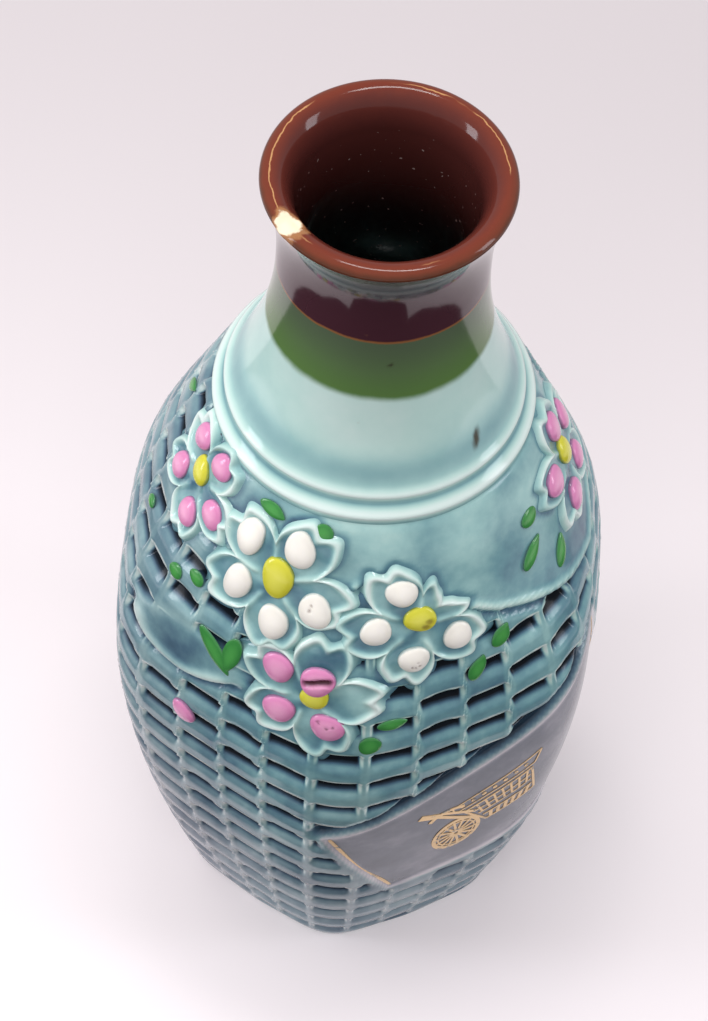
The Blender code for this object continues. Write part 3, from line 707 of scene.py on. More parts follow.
def carve(azimuth, z, points):
    """Lift of the outer wall's points, and by name what their glaze needs to know."""
    relief, side, edge_turn = weave_relief(sway_azimuth(azimuth, z), z)
    drape = drape_distance(azimuth, z)
    leaf = leaf_distance(azimuth, z)
    smooth_edge = np.maximum(drape, leaf)
    smooth = np.maximum(smooth_step(-STEP_WIDTH, 0.0, smooth_edge),
                        smooth_step(FOOT_BAND, 0.6 * FOOT_BAND, z))
    hem = np.exp(-((smooth_edge - 0.7 * MM) / HEM_HALF_WIDTH) ** 2)
    gully = np.exp(-((smooth_edge + 1.1 * MM) / HEM_HALF_WIDTH) ** 2)
    above_leaf = (leaf > drape) * smooth_step(LEAF_HEIGHT - 2.0 * MM, LEAF_HEIGHT + 1.0 * MM, z)
    smooth = np.maximum(smooth, above_leaf * smooth_step(-3.6 * MM, 0.5 * MM, leaf))
    hem *= 1.0 - above_leaf
    gully *= 1.0 - above_leaf
    turn = np.radians(azimuth)
    swell = np.sin(turn * 7.0 + z / (9.0 * MM)) * np.sin(z / (6.0 * MM) - turn * 5.0)
    plain = HEM_PROUD * hem + (0.15 + 0.30 * swell) * MM * smooth * smooth_step(SEAM, SEAM - 8.0 * MM, z)
    lift = relief * (1.0 - smooth) + plain - GULLY_DEPTH * gully * (1.0 - smooth)
    low_right = smooth_step(-20.0, 40.0, azimuth) * smooth_step(134.0 * MM, 118.0 * MM, z)
    plain_depth = 0.38 + 0.20 * low_right - 0.10 * swell
    plain_depth += 0.20 * smooth_step(-1.0 * MM, 2.0 * MM, leaf)
    glaze_and_shade_depth = WOVEN_GLAZE * (1.0 - smooth) + plain_depth * smooth
    glaze_and_shade_depth += 0.28 * gully * (1.0 - smooth) - 0.36 * hem
    woven = 1.0 - smooth
    panel, level, groove, inside = panel_relief(azimuth, z)
    greyer = LOW_LILAC * smooth_step(100.0 * MM, 25.0 * MM, z)
    greyer = greyer + LEFT_LILAC * smooth_step(-10.0, -70.0, azimuth)
    greyer = np.minimum(greyer, 0.85)
    flattened = np.maximum(smooth_step(-2.6 * MM, -0.9 * MM, inside), groove)
    lift = lift * (1.0 - flattened) + level * panel - GROOVE_DEPTH * groove * (1.0 - panel)
    pale_edge = np.exp(-((inside - 0.3 * MM) / (0.8 * MM)) ** 2)
    glaze_and_shade_depth = glaze_and_shade_depth * (1.0 - panel) + (PANEL_GLAZE - 0.52 * pale_edge) * panel
    glaze_and_shade_depth = glaze_and_shade_depth * (1.0 - groove * (1.0 - panel)) + GROOVE_GLAZE * groove * (1.0 - panel)
    woven = woven * (1.0 - flattened)
    for name in BLOSSOMS:
        near = blossom_distance(name, points)
        cover = smooth_step(-1.6 * MM, 0.4 * MM, near)
        lift = lift * (1.0 - cover) - 0.1 * MM * cover
        woven = woven * (1.0 - cover)
        # Pooled glaze and painted shade darken the wall along each sprig's outline, where the sprig stands
        # proud of it.
        glaze_and_shade_depth = glaze_and_shade_depth + (0.60 - glaze_and_shade_depth) * smooth_step(-2.4 * MM, -0.4 * MM, near)
    worn_foot = smooth_step(2.6 * MM, 0.0, z)
    glaze_and_shade_depth = glaze_and_shade_depth * (1.0 - worn_foot) + 0.25 * worn_foot
    fade = smooth_step(0.0, 1.2 * MM, SEAM - z)
    lift = lift * fade - 0.3 * MM * (1.0 - fade)
    lilac = np.maximum(panel, greyer * (1.0 - panel))
    return lift, {"glaze_and_shade_depth": glaze_and_shade_depth, "panel": lilac, "woven": woven, "side": side,
                  "edge_sine": np.sin(edge_turn), "edge_cosine": np.cos(edge_turn)}


def carve_body(mesh):
    """Press the spun shell to the hexagon, carve its outside, round its foot, and note the glaze."""
    coords = read_points(mesh)
    radius = np.hypot(coords[:, 0], coords[:, 1])
    z = coords[:, 2]
    azimuth = azimuth_of(coords)
    outer = radius > flat_half_width(z) - 0.01 * MM
    outer &= z > 0.05 * MM
    factor = hexagon_factor(azimuth, z)
    coords[:, :2] *= factor[:, None]
    lift = np.zeros(len(z))
    pick = np.where(outer)[0]
    lift[pick], notes = carve(azimuth[pick], z[pick], coords[pick])
    normal = wall_normal(azimuth[pick], z[pick])
    coords[pick] += normal * lift[pick, None]
    coords[:, 2] = np.maximum(coords[:, 2], 0.0)
    edge = np.clip((FOOT_EDGE - z) / FOOT_EDGE, 0.0, 1.0)
    inset = FOOT_EDGE * (1.0 - np.sqrt(1.0 - edge ** 2)) * (radius > FOOT_HALF_WIDTH - 0.1 * MM)
    coords[:, :2] *= (1.0 - inset / np.maximum(radius, MM))[:, None]
    write_points(mesh, coords)
    for name, values in notes.items():
        whole = np.full(len(z), 0.3 if name == "glaze_and_shade_depth" else 0.0)
        whole[pick] = values
        write_attribute(mesh, name, whole)
    return lift


woven_body = make_piece(body_bm, "woven_body", celadon_glaze, ("bottle_body",), 180.0)
lifts = carve_body(woven_body.data)
print("relief from %.2f to %.2f mm" % (lifts.min() / MM, lifts.max() / MM))

# %% [markdown]
# ## Neck and lip
# The neck was dipped twice: first in an olive-green glaze, then, lip down, in an iron-brown one, so
# each border is a level ring that wanders a little. Two raised rings mark the shoulder. A chip out of
# the inner lip shows the cream clay, and a few dark specks are iron in the clay.

# %% Neck glazes
BROWN_BORDER = 185.9 * MM
OLIVE_BORDER = 171.2 * MM
NECK_BOTTOM = SEAM - 2.4 * MM
CHIP_AZIMUTH = -51.0
CHIP_RADIUS = 2.3 * MM
CHIP_FROM_AXIS = 20.2 * MM
SPECKS = ((9.6, 179.8, 0.42, 0.42), (51.3, 156.6, 0.75, 1.7))  # azimuth, height, half-width, half-height


def speck_shape(azimuth, z):
    """1 inside an iron speck on the neck, falling to 0 outside."""
    total = np.zeros(np.shape(z))
    for speck_azimuth, height, half_width, half_height in SPECKS:
        level = np.radians(azimuth - speck_azimuth) * flat_half_width(height * MM)
        rise = z - height * MM
        lean = level - 0.30 * rise
        shape = np.hypot(lean / (half_width * MM), rise / (half_height * MM))
        total = np.maximum(total, smooth_step(1.5, 0.6, shape))
    return total


def make_neck_glaze():
    """Celadon, olive and iron-brown glazes in bands by height, with painted shade darkening the throat."""
    material, tree, shader = new_material("iron_brown_and_celadon_glaze", 0.09)
    shader.inputs["Specular IOR Level"].default_value = 0.32
    glaze_and_shade_depth, throat_shade, roll = attribute(tree, "glaze_and_shade_depth"), attribute(tree, "throat_shade"), attribute(tree, "roll")
    chip, speck = attribute(tree, "chip"), attribute(tree, "speck")
    cloud = object_noise(tree, 14.0, 2.0).outputs["Fac"]
    fine = object_noise(tree, 2.2, 4.0).outputs["Fac"]
    cloudy = add_scaled(tree, glaze_and_shade_depth, cloud, 0.20)
    cloudy = add_scaled(tree, cloudy, fine, 0.05)
    celadon = add_node(tree, "ShaderNodeValToRGB", {}, {"Fac": cloudy})
    ramp_stops(celadon, CELADON_STOPS)
    coords = add_node(tree, "ShaderNodeTexCoord")
    split = add_node(tree, "ShaderNodeSeparateXYZ", {}, {"Vector": coords.outputs["Object"]})
    wander = add_scaled(tree, split.outputs["Z"], cloud, 1.6 * MM)
    wander = add_scaled(tree, wander, fine, 0.4 * MM)

    def border(height, half_width):
        """0 below a level border and 1 above it."""
        return remap(tree, wander, height - half_width, height + half_width)

    def layer(below, code, factor):
        mix = add_node(tree, "ShaderNodeMix", {7: tint(code)}, {"Factor": factor, 6: below}, data_type="RGBA")
        return mix.outputs[2]

    olive_tone = add_node(tree, "ShaderNodeValToRGB", {}, {"Fac": border(178.0 * MM, 8.5 * MM)})
    ramp_stops(olive_tone, ((0.0, "56773f"), (0.45, "566f47"), (1.0, "51604a")))
    olive_layers = {"Factor": border(OLIVE_BORDER, 1.0 * MM), 6: celadon.outputs["Color"],
                    7: olive_tone.outputs["Color"]}
    olive = add_node(tree, "ShaderNodeMix", {}, olive_layers, data_type="RGBA")
    seam = layer(olive.outputs[2], "8a5a36", border(BROWN_BORDER - 0.45 * MM, 0.25 * MM))
    uneven_roll = add_scaled(tree, roll, fine, 0.10)
    brown_tone = add_node(tree, "ShaderNodeValToRGB", {}, {"Fac": uneven_roll})
    ramp_stops(brown_tone, ((0.0, "42242d"), (0.22, "3f2229"), (0.36, "57301f"), (0.44, "6b3322"),
                            (0.60, "6e3021"), (0.80, "5a2922"), (1.0, "4c2421")))
    worn_line = product(tree, remap(tree, uneven_roll, 0.575, 0.59), remap(tree, uneven_roll, 0.615, 0.60),
                        remap(tree, cloud, 0.46, 0.56))
    brown_worn = layer(brown_tone.outputs["Color"], "b98a5c", worn_line)
    all_brown = math_node(tree, "MAXIMUM", border(BROWN_BORDER, 0.25 * MM), remap(tree, throat_shade, 0.0, 0.02))
    brown = add_node(tree, "ShaderNodeMix", {}, {"Factor": all_brown, 6: seam, 7: brown_worn},
                     data_type="RGBA")
    # Painted shade: the brown turns near black further down the throat, where little light reaches.
    throat = layer(brown.outputs[2], "120708", throat_shade)
    dust = product(tree, remap(tree, object_noise(tree, 0.9, 1.0).outputs["Fac"], 0.735, 0.76),
                   remap(tree, throat_shade, 0.02, 0.1))
    spotted = layer(layer(throat, "8d7a76", dust), "3a3a2c", speck)
    chip_edge = add_scaled(tree, chip, fine, 0.9)
    clay = remap(tree, chip_edge, 0.45, 0.60)
    clay_rim = remap(tree, chip_edge, 0.20, 0.42)
    chipped = layer(layer(spotted, "9a6a45", clay_rim), "e6d9bd", clay)
    tree.links.new(chipped, shader.inputs["Base Color"])
    rough = add_node(tree, "ShaderNodeMapRange", {"To Min": 0.09, "To Max": 0.75}, {"Value": clay})
    tree.links.new(rough.outputs["Result"], shader.inputs["Roughness"])
    finish_glaze(tree, shader, 2.6)
    return material


neck_glaze = make_neck_glaze()
print("finish:", neck_glaze.name)

# %% Spin the neck
NECK_STEPS = 256
NECK_ROW = 0.45 * MM
LIP_STEPS = 14


def neck_section():
    """Closed section: up the outside, over the lip, down the throat and back under."""
    outside = np.arange(NECK_BOTTOM, LIP_WIDEST, NECK_ROW)
    section = [(float(flat_half_width(z)), float(z)) for z in outside]
    for turn in np.linspace(0.0, 0.5 * math.pi, LIP_STEPS)[:-1]:
        section.append((LIP_CREST_RADIUS + (LIP_RADIUS - LIP_CREST_RADIUS) * math.cos(turn),
                        LIP_WIDEST + LIP_DROP * math.sin(turn)))
    inner_z = LIP_WIDEST - LIP_INNER_DROP
    for turn in np.linspace(0.5 * math.pi, math.pi, 2 * LIP_STEPS):
        section.append((LIP_CREST_RADIUS + (LIP_CREST_RADIUS - LIP_INNER_RADIUS) * math.cos(turn),
                        inner_z + (LIP_DROP + LIP_INNER_DROP) * math.sin(turn)))
    for z in np.linspace(inner_z, WAIST, 20)[1:]:
        throat = bowed(NECK_RADIUS - WALL, LIP_INNER_RADIUS, (z - WAIST) / (inner_z - WAIST), 1.2)
        section.append((float(throat), float(z)))
    for z in np.linspace(WAIST, NECK_BOTTOM, 14)[1:]:
        section.append((float(flat_half_width(z)) - WALL, float(z)))
    return section


def shape_neck(mesh):
    """Raise the rings, tuck the lower edge into the body, break out the chip, and note the glaze with its
    painted shade.
    """
    coords = read_points(mesh)
    radius = np.hypot(coords[:, 0], coords[:, 1])
    z = coords[:, 2].copy()
    azimuth = azimuth_of(coords)
    outer = (radius > flat_half_width(z) - 0.01 * MM) & (z < LIP_WIDEST + 0.01 * MM)
    rings = sum(np.exp(-((z - ring) / (0.62 * RING_HALF_WIDTH)) ** 2)
                for ring in (RING_HEIGHT, RING_HEIGHT - RING_SPACING))
    tuck = smooth_step(SEAM + 0.5 * MM, SEAM - 0.9 * MM, z)
    lift = (RING_PROUD * rings - 0.9 * MM * tuck) * outer
    hollow = np.exp(-((z - RING_HEIGHT + 0.5 * RING_SPACING) / (0.55 * RING_HALF_WIDTH)) ** 2)
    lift -= 0.25 * MM * hollow * outer
    coords[:, :2] *= (hexagon_factor(azimuth, z) * (1.0 + lift / radius))[:, None]
    pooled = np.exp(-((z - RING_HEIGHT - 3.6 * MM) / (3.4 * MM)) ** 2)
    # The hollow between the rings takes pooled glaze and painted shade.
    glaze_and_shade_depth = 0.14 + 0.26 * pooled + 0.34 * hollow - 0.24 * np.clip(rings, 0.0, 1.0)
    low_ring = RING_HEIGHT - RING_SPACING
    # Painted shade under the lower ring, down to the body.
    glaze_and_shade_depth += 0.30 * smooth_step(low_ring - 0.5 * MM, low_ring - 1.7 * MM, z)
    chip_turn = math.radians(CHIP_AZIMUTH)
    chip_out = np.array([math.sin(chip_turn), -math.cos(chip_turn), 0.0])
    chip_spot = chip_out * CHIP_FROM_AXIS + np.array([0.0, 0.0, HEIGHT - 0.2 * MM])
    from_chip = np.linalg.norm((coords - chip_spot) * np.array([1.0, 1.0, 0.8]), axis=1)
    chip = 1.0 - from_chip / (2.0 * CHIP_RADIUS)
    dent = smooth_step(0.42, 0.75, chip)
    coords[:, 2] -= dent * 0.9 * MM
    throat = ~outer & (z < LIP_WIDEST + 0.5 * MM) & (radius < LIP_CREST_RADIUS)
    climb = np.clip((LIP_RADIUS - radius) / (LIP_RADIUS - LIP_CREST_RADIUS), 0.0, 1.0)
    inward = np.clip((LIP_CREST_RADIUS - radius) / (LIP_CREST_RADIUS - LIP_INNER_RADIUS), 0.0, 1.0)
    roll = np.where(outer, 0.30 * smooth_step(LIP_WIDEST - 2.5 * MM, LIP_WIDEST, z),
                    0.35 + 0.25 * climb + 0.4 * inward)
    # Painted shade down the throat: 0 just under the lip, 1 some 30 mm down inside.
    throat_shade = throat * smooth_step(LIP_WIDEST - 2.0 * MM, LIP_WIDEST - 30.0 * MM, z)
    write_points(mesh, coords)
    facing = outer * speck_shape(azimuth, z)
    notes = {"glaze_and_shade_depth": glaze_and_shade_depth, "roll": roll, "throat_shade": throat_shade, "chip": np.clip(chip, 0, 1), "speck": facing}
    for name, values in notes.items():
        write_attribute(mesh, name, values)


neck_bm = spin_section(neck_section(), NECK_STEPS, ring=True)
neck_and_lip = make_piece(neck_bm, "neck_and_lip", neck_glaze, ("bottle_body",), 180.0)
shape_neck(neck_and_lip.data)
print("neck and lip:", len(neck_and_lip.data.vertices), "points")

# %% [markdown]
# ## The sprigs
# A sprig is a thin cast of clay stuck on with slip. Its petals are dished, with a rounded rim that
# the glaze runs off, so the rims read as pale lines, and its skirt darkens toward the wall with painted
# shade. A fan of points is spun flat, stretched to the outline, raised by the formula of the rim, and
# pressed on.

# %% Sprig glaze and petals
SPRIG_STEPS = 220
SPRIG_RINGS = 34
RIM_FROM_EDGE = 0.9 * MM
RIM_HALF_WIDTH = 0.95 * MM
RIM_RISE = 0.70 * MM
DISH_LIFT = 0.42 * MM
SKIRT = 2.2 * MM
SKIRT_DROP = 1.25 * MM
UNDERSIDE = -1.9 * MM


def make_sprig_glaze():
    """The same celadon as the body, by the sprig's own attribute of glaze depth and painted shade."""
    material, tree, shader = new_material("sprig_celadon_glaze", 0.12)
    cloudy = add_scaled(tree, attribute(tree, "glaze_and_shade_depth"), object_noise(tree, 7.0, 2.0).outputs["Fac"], 0.34)
    cloudy = add_scaled(tree, cloudy, object_noise(tree, 1.5, 3.0).outputs["Fac"], 0.10)
    celadon = add_node(tree, "ShaderNodeValToRGB", {}, {"Fac": cloudy})
    ramp_stops(celadon, CELADON_STOPS)
    tree.links.new(celadon.outputs["Color"], shader.inputs["Base Color"])
    finish_glaze(tree, shader, 1.2)
    return material


sprig_glaze = make_sprig_glaze()


def flat_fan(rings, steps):
    """A flat closed fan of radius 1 with its own underside, as one thin shell."""
    bm = bmesh.new()
    top = [(share, 0.0) for share in np.linspace(0.0, 1.0, rings)]
    low = [(1.0, -1.0), (0.0, -1.0)]
    row = [bm.verts.new((radius, 0.0, z)) for radius, z in top + low]
    edges = [bm.edges.new(pair) for pair in zip(row, row[1:])]
    bmesh.ops.spin(bm, geom=row + edges, cent=(0, 0, 0), axis=(0, 0, 1), angle=2.0 * math.pi, steps=steps,
                   use_merge=True)
    bmesh.ops.remove_doubles(bm, verts=bm.verts, dist=1e-5)
    bmesh.ops.recalc_face_normals(bm, faces=bm.faces)
    return bm


def build_sprig(name):
    """One blossom sprig pressed onto the wall in place of its plate."""
    azimuth, height, turn = BLOSSOMS[name][:3]
    piece = make_piece(flat_fan(SPRIG_RINGS, SPRIG_STEPS), "sprig_" + name, sprig_glaze,
                       (name,), 180.0)
    flat = read_points(piece.data)
    under = flat[:, 2] < -0.5
    share = np.hypot(flat[:, 0], flat[:, 1])
    angle = np.arctan2(flat[:, 1], flat[:, 0])
    edge = petal_outline(name, angle)
    distance = share * (edge + SKIRT)
    inside = edge - distance
    rim = np.exp(-((inside - RIM_FROM_EDGE) / RIM_HALF_WIDTH) ** 2)
    local = np.abs(np.mod(angle - math.radians(turn), 2.0 * math.pi / PETALS) - math.pi / PETALS)
    valley = np.exp(-(local * distance / (0.65 * MM)) ** 2) * smooth_step(2.6 * MM, 4.5 * MM, distance)
    valley *= smooth_step(0.0, 1.4 * MM, inside)
    crest = np.maximum(rim, 0.55 * valley)
    skirt = smooth_step(0.9 * MM, -1.9 * MM, inside)
    z = DISH_LIFT + RIM_RISE * crest - SKIRT_DROP * skirt
    wobble = 0.12 * MM * np.sin(distance / MM * 0.9 + 3.0 * angle)
    glaze_and_shade_depth = 0.50 - 0.46 * crest + 0.10 * np.sin(3.0 * angle + 0.4 * distance / MM)
    # Painted shade: the skirt darkens toward the wall, where the sprig drops down onto it.
    skirt_shade = smooth_step(0.0, 0.6, skirt)
    glaze_and_shade_depth = glaze_and_shade_depth * (1.0 - skirt_shade) + (0.16 + 0.42 * skirt) * skirt_shade
    flat[:, 0] = distance * np.cos(angle)
    flat[:, 1] = distance * np.sin(angle)
    flat[:, 2] = np.where(under, UNDERSIDE, z + wobble * (1.0 - skirt))
    write_points(piece.data, press_points(flat, azimuth, height * MM))
    write_attribute(piece.data, "glaze_and_shade_depth", np.clip(glaze_and_shade_depth, 0.0, 1.0))
    return piece


sprigs = [build_sprig(name) for name in BLOSSOMS]
print("sprigs:", len(sprigs), "with", len(sprigs[0].data.vertices), "points each")

# %% [markdown]
# ## Drops of enamel
# The painter let one fat drop of enamel fall on every petal. Surface tension rounds it into a pillow
# with a steep edge, and where it is thin at the rim it looks more see-through; its darker rim is partly
# that thin enamel and partly painted contact shadow. Each drop starts as a sphere, is squared a little,
# made uneven, and pressed on.

# %% Enamel finishes
ENAMELS = {
    # edge colour, of thin enamel and painted contact shadow, then body and crown colours
    PINK: ("8f6b8c", "d486b2", "e6a3c6"),
    WHITE: ("9fb0ae", "e9e5dc", "f7f3ea"),
    "yellow": ("7d9046", "cdc93c", "dcd85a"),
    "green": ("4a7a5c", "3a8440", "4b9a4b"),
}


def make_enamel(name):
    """Glossy overglaze enamel: thin at its edge, where painted contact shadow also darkens it, cloudy and
    rich in the middle.
    """
    material, tree, shader = new_material(name + "_overglaze_enamel", 0.16)
    cloudy = add_scaled(tree, attribute(tree, "edge"), object_noise(tree, 1.6, 3.0).outputs["Fac"], 0.22)
    ramp = add_node(tree, "ShaderNodeValToRGB", {}, {"Fac": cloudy})
    thin, body, crown = ENAMELS[name]
    # Painted contact shadow: the ramp darkens toward each drop's rim, along with the thinner enamel there.
    ramp_stops(ramp, ((0.0, crown), (0.55, body), (0.84, body), (1.0, thin)))
    dirt = add_node(tree, "ShaderNodeMix", {7: tint("4a2430" if name == PINK else "6b4a30")},
                    {"Factor": attribute(tree, "stain"), 6: ramp.outputs["Color"]}, data_type="RGBA")
    tree.links.new(dirt.outputs[2], shader.inputs["Base Color"])
    shader.inputs["Subsurface Weight"].default_value = 0.15
    shader.inputs["Subsurface Radius"].default_value = (0.8 * MM, 0.8 * MM, 0.6 * MM)
    shader.inputs["Subsurface Scale"].default_value = 1.0
    finish_glaze(tree, shader, 0.9, 0.02)
    return material


enamels = {name: make_enamel(name) for name in ENAMELS}
print("enamels:", ", ".join(enamels))

# %% Shape and place the drops
DROP_RISE = 1.35 * MM
DROP_LIFT = 0.35 * MM
CRACKED_DROP_LIFT = 0.7 * MM           # the cracked drop overlaps the eye beneath it
DROP_SEGMENTS = 40
DROP_UNDERSIDE = 0.4 * MM
CRACK_DEPTH = 0.8 * MM
PIT_DEPTH = 0.25 * MM


def build_drop(name, place, half_size, turn, colour, offset=(0.0, 0.0), rise=DROP_RISE, lift=DROP_LIFT,
               pointed=0.0, seed=0, mark=None):
    """A domed drop. The offset (x, y) in metres is measured from the spot at place (azimuth, mm)."""
    bm = bmesh.new()
    bmesh.ops.create_uvsphere(bm, u_segments=DROP_SEGMENTS, v_segments=DROP_SEGMENTS // 2, radius=1.0)
    piece = make_piece(bm, "drop_" + name, enamels[colour], (name,), 180.0)
    ball = read_points(piece.data)
    rng = np.random.default_rng(seed)
    phases = rng.uniform(0.0, 2.0 * math.pi, 3)
    level = np.hypot(ball[:, 0], ball[:, 1])
    angle = np.arctan2(ball[:, 1], ball[:, 0])
    uneven = 1.0 + 0.05 * np.sin(2.0 * angle + phases[0]) + 0.035 * np.sin(3.0 * angle + phases[1])
    narrow = 1.0 - pointed * np.clip(ball[:, 0], 0.0, 1.0) ** 2
    x = ball[:, 0] * half_size[0] * MM * uneven
    y = ball[:, 1] * half_size[1] * MM * uneven * narrow
    pillow = np.sign(ball[:, 2]) * np.abs(ball[:, 2]) ** 0.8
    swelling = rise * (1.0 + 0.12 * np.sin(angle + phases[2]) * level)
    z = np.where(pillow > 0.0, pillow * swelling, pillow * DROP_UNDERSIDE)
    stain = np.zeros(len(ball))
    if mark == "crack":
        line = np.abs(y / (half_size[1] * MM) - 0.20 * np.sin(2.2 * ball[:, 0] + 0.5))
        stain = smooth_step(0.30, 0.08, line) * (ball[:, 2] > 0.1)
        stain = stain * smooth_step(0.95, 0.6, np.abs(ball[:, 0]))
        z -= CRACK_DEPTH * stain
    if mark in ("pits", "stain"):
        for _ in range(4 if mark == "pits" else 2):
            spot = rng.uniform(-0.55, 0.55, 2)
            size = rng.uniform(0.07, 0.14) if mark == "pits" else 0.34
            pit = smooth_step(size, 0.3 * size, np.hypot(ball[:, 0] - spot[0], ball[:, 1] - spot[1]))
            stain = np.maximum(stain, 0.6 * pit * (ball[:, 2] > 0.0))
        z -= PIT_DEPTH * stain
    cos_turn, sin_turn = math.cos(math.radians(turn)), math.sin(math.radians(turn))
    flat = np.stack([x * cos_turn - y * sin_turn + offset[0],
                     x * sin_turn + y * cos_turn + offset[1], z + lift], -1)
    write_points(piece.data, press_points(flat, place[0], place[1] * MM))
    write_attribute(piece.data, "edge", np.where(ball[:, 2] > 0.0, level ** 2, 1.0))
    write_attribute(piece.data, "stain", stain)
    return piece


MARKS = {("blossom_low", 1): "crack", ("blossom_front", 4): "pits", ("blossom_right", 3): "pits",
         ("blossom_low", 4): "pits", ("blossom_right", "eye"): "stain"}
DROP_LEAN = 14.0               # degrees from upright, for the drops beside an eye
count = 0
for order, (name, blossom) in enumerate(BLOSSOMS.items()):
    azimuth, height, _, _, colour, places, eye = blossom
    half_width, half_height, eye_width, eye_height = DROP_SIZES[name]
    for petal, spot in enumerate(places):
        if spot is None:
            continue
        mark = MARKS.get((name, petal))
        size, lean = (half_height, half_width), 90.0 + DROP_LEAN * (spot[0] - 2.0) / 8.0
        lift = DROP_LIFT
        if mark == "crack":
            size, lean = (half_width, half_height), 0.0
            lift = DROP_LIFT + CRACKED_DROP_LIFT
        build_drop("%s_bead_%d" % (name, petal + 1), (azimuth, height), size, lean, colour,
                   (spot[0] * MM, spot[1] * MM), lift=lift, seed=10 * order + petal, mark=mark)
        count += 1
    build_drop(name + "_eye", (azimuth, height), (eye_height, eye_width), 90.0 + DROP_LEAN, "yellow",
               (eye[0] * MM, eye[1] * MM), seed=10 * order + 9, mark=MARKS.get((name, "eye")))
    count += 1
print("drops on blossoms:", count)

# %% [markdown]
# ## Leaves and a bud
# The leaves are single strokes of green enamel, thinner than the drops, laid straight over the weave.
# One small pink drop on its own makes a bud.

# %% Leaf strokes
LEAF_RISE = 0.42 * MM
LEAF_STROKES = {
    # azimuth, height, half-length, half-width, turn, how pointed
    "leaf_ring_left": (-30.0, 144.6, 3.0, 1.4, -12.0, 0.6),
    "leaf_ring_right": (-11.4, 144.2, 1.9, 1.8, 0.0, 0.0),
    "leaf_fork_long": (-34.2, 110.6, 5.4, 2.0, -46.0, 0.5),
    "leaf_fork_short": (-29.6, 112.0, 4.8, 2.0, -98.0, 0.5),
    "leaf_under_bloom": (6.6, 100.8, 2.4, 2.1, 50.0, 0.0),
    "leaf_under_stroke": (11.6, 105.6, 3.0, 1.3, 8.0, 0.5),
    "leaf_right_upper": (41.0, 118.5, 2.7, 1.9, 50.0, 0.5),
    "leaf_right_lower": (33.5, 113.4, 3.2, 1.6, 65.0, 0.5),
    "leaf_left_outer": (-52.5, 119.8, 1.9, 1.6, 0.0, 0.0),
    "leaf_left_inner": (-45.5, 122.6, 1.9, 1.6, 0.0, 0.0),
    "leaf_left_far": (-73.5, 121.6, 1.6, 1.3, 0.0, 0.0),
    "leaf_left_top": (-94.0, 140.0, 2.8, 1.2, 35.0, 0.5),
    "leaf_side_dot": (60.5, 136.0, 2.2, 1.9, 0.0, 0.0),
    "leaf_side_long": (57.0, 129.6, 3.6, 1.6, 35.0, 0.5),
    "leaf_side_short": (67.5, 124.0, 3.6, 1.5, 60.0, 0.5),
}
for order, (name, stroke) in enumerate(LEAF_STROKES.items()):
    azimuth, height, half_length, half_width, turn, pointed = stroke
    build_drop(name, (azimuth, height), (half_length, half_width), turn, "green", rise=LEAF_RISE,
               pointed=pointed, seed=100 + order)
build_drop("bud_bead", (-40.0, 88.8), (2.9, 2.3), -30.0, PINK, rise=1.2 * MM, seed=130)
print("leaf strokes:", len(LEAF_STROKES))

# %% [markdown]
# ## Gilding
# Liquid gold was brushed on the panel last and fired low, so it is only a film, and years of handling
# have rubbed it. The picture is a plain two-wheeled court cart. Every line is a thin ribbon, laid along
# a path, so that the film has an edge to catch the light.

# %% Worn gilding and ribbons
GILT_FILM = 0.16 * MM
CART_AZIMUTH = 33.0
CART_HEIGHT = 52.7 * MM


def make_gilding():
    """Fired gold film, rubbed through to the glaze in places."""
    material, tree, shader = new_material("worn_fired_gilding", 0.34, 1.0)
    wear = object_noise(tree, 1.1, 4.0).outputs["Fac"]
    patch = object_noise(tree, 6.0, 1.0).outputs["Fac"]
    rubbed = add_scaled(tree, wear, patch, 0.6)
    mask = remap(tree, rubbed, 0.62, 0.70)
    colour = add_node(tree, "ShaderNodeMix", {6: tint("e6c592"), 7: tint("8a8580")}, {"Factor": mask},
                      data_type="RGBA")
    tree.links.new(colour.outputs[2], shader.inputs["Base Color"])
    metal = add_node(tree, "ShaderNodeMapRange", {"To Min": 0.85, "To Max": 0.0}, {"Value": mask})
    tree.links.new(metal.outputs["Result"], shader.inputs["Metallic"])
    return material


gilding = make_gilding()


def lay_ribbon(bm, points, width, closed=False):
    """A thin flat ribbon of the given width (mm) through flat points (mm)."""
    path = [Vector(point) for point in points]
    steps = len(path) - 1
    before = set(bm.verts)
    bmesh.ops.create_grid(bm, x_segments=steps, y_segments=1, size=0.5)
    strip = [vert for vert in bm.verts if vert not in before]
    for vert in strip:
        spot = round((vert.co.x + 0.5) * steps)
        ahead = path[(spot + 1) % steps if closed else min(spot + 1, steps)]
        behind = path[(spot - 1) % steps if closed else max(spot - 1, 0)]
        side = Vector((behind.y - ahead.y, ahead.x - behind.x)).normalized()
        here = path[spot] + side * (vert.co.y * width)
        vert.co = (here.x * MM, here.y * MM, 0.0)
    faces = {face for vert in strip for face in vert.link_faces}
    top = bmesh.ops.extrude_face_region(bm, geom=list(faces))
    for item in top["geom"]:
        if isinstance(item, bmesh.types.BMVert):
            item.co.z = GILT_FILM


def line(start, end, pieces=6):
    return [Vector(start).lerp(Vector(end), i / pieces) for i in range(pieces + 1)]


def arc(middle, radius, first, last, pieces=24):
    """Points on a circle from first to last degrees."""
    turns = np.radians(np.linspace(first, last, pieces + 1))
    return [(middle[0] + radius * math.cos(turn), middle[1] + radius * math.sin(turn)) for turn in turns]


def close_ribbons(bm, name, replaces):
    """Turn finished ribbons into one piece and press it onto the sunk panel."""
    bmesh.ops.recalc_face_normals(bm, faces=bm.faces)
    piece = make_piece(bm, name, gilding, replaces, 40.0)
    flat = read_points(piece.data)
    flat[:, 2] += -PANEL_SINK - 0.03 * MM
    write_points(piece.data, press_points(flat, CART_AZIMUTH, CART_HEIGHT))
    return piece


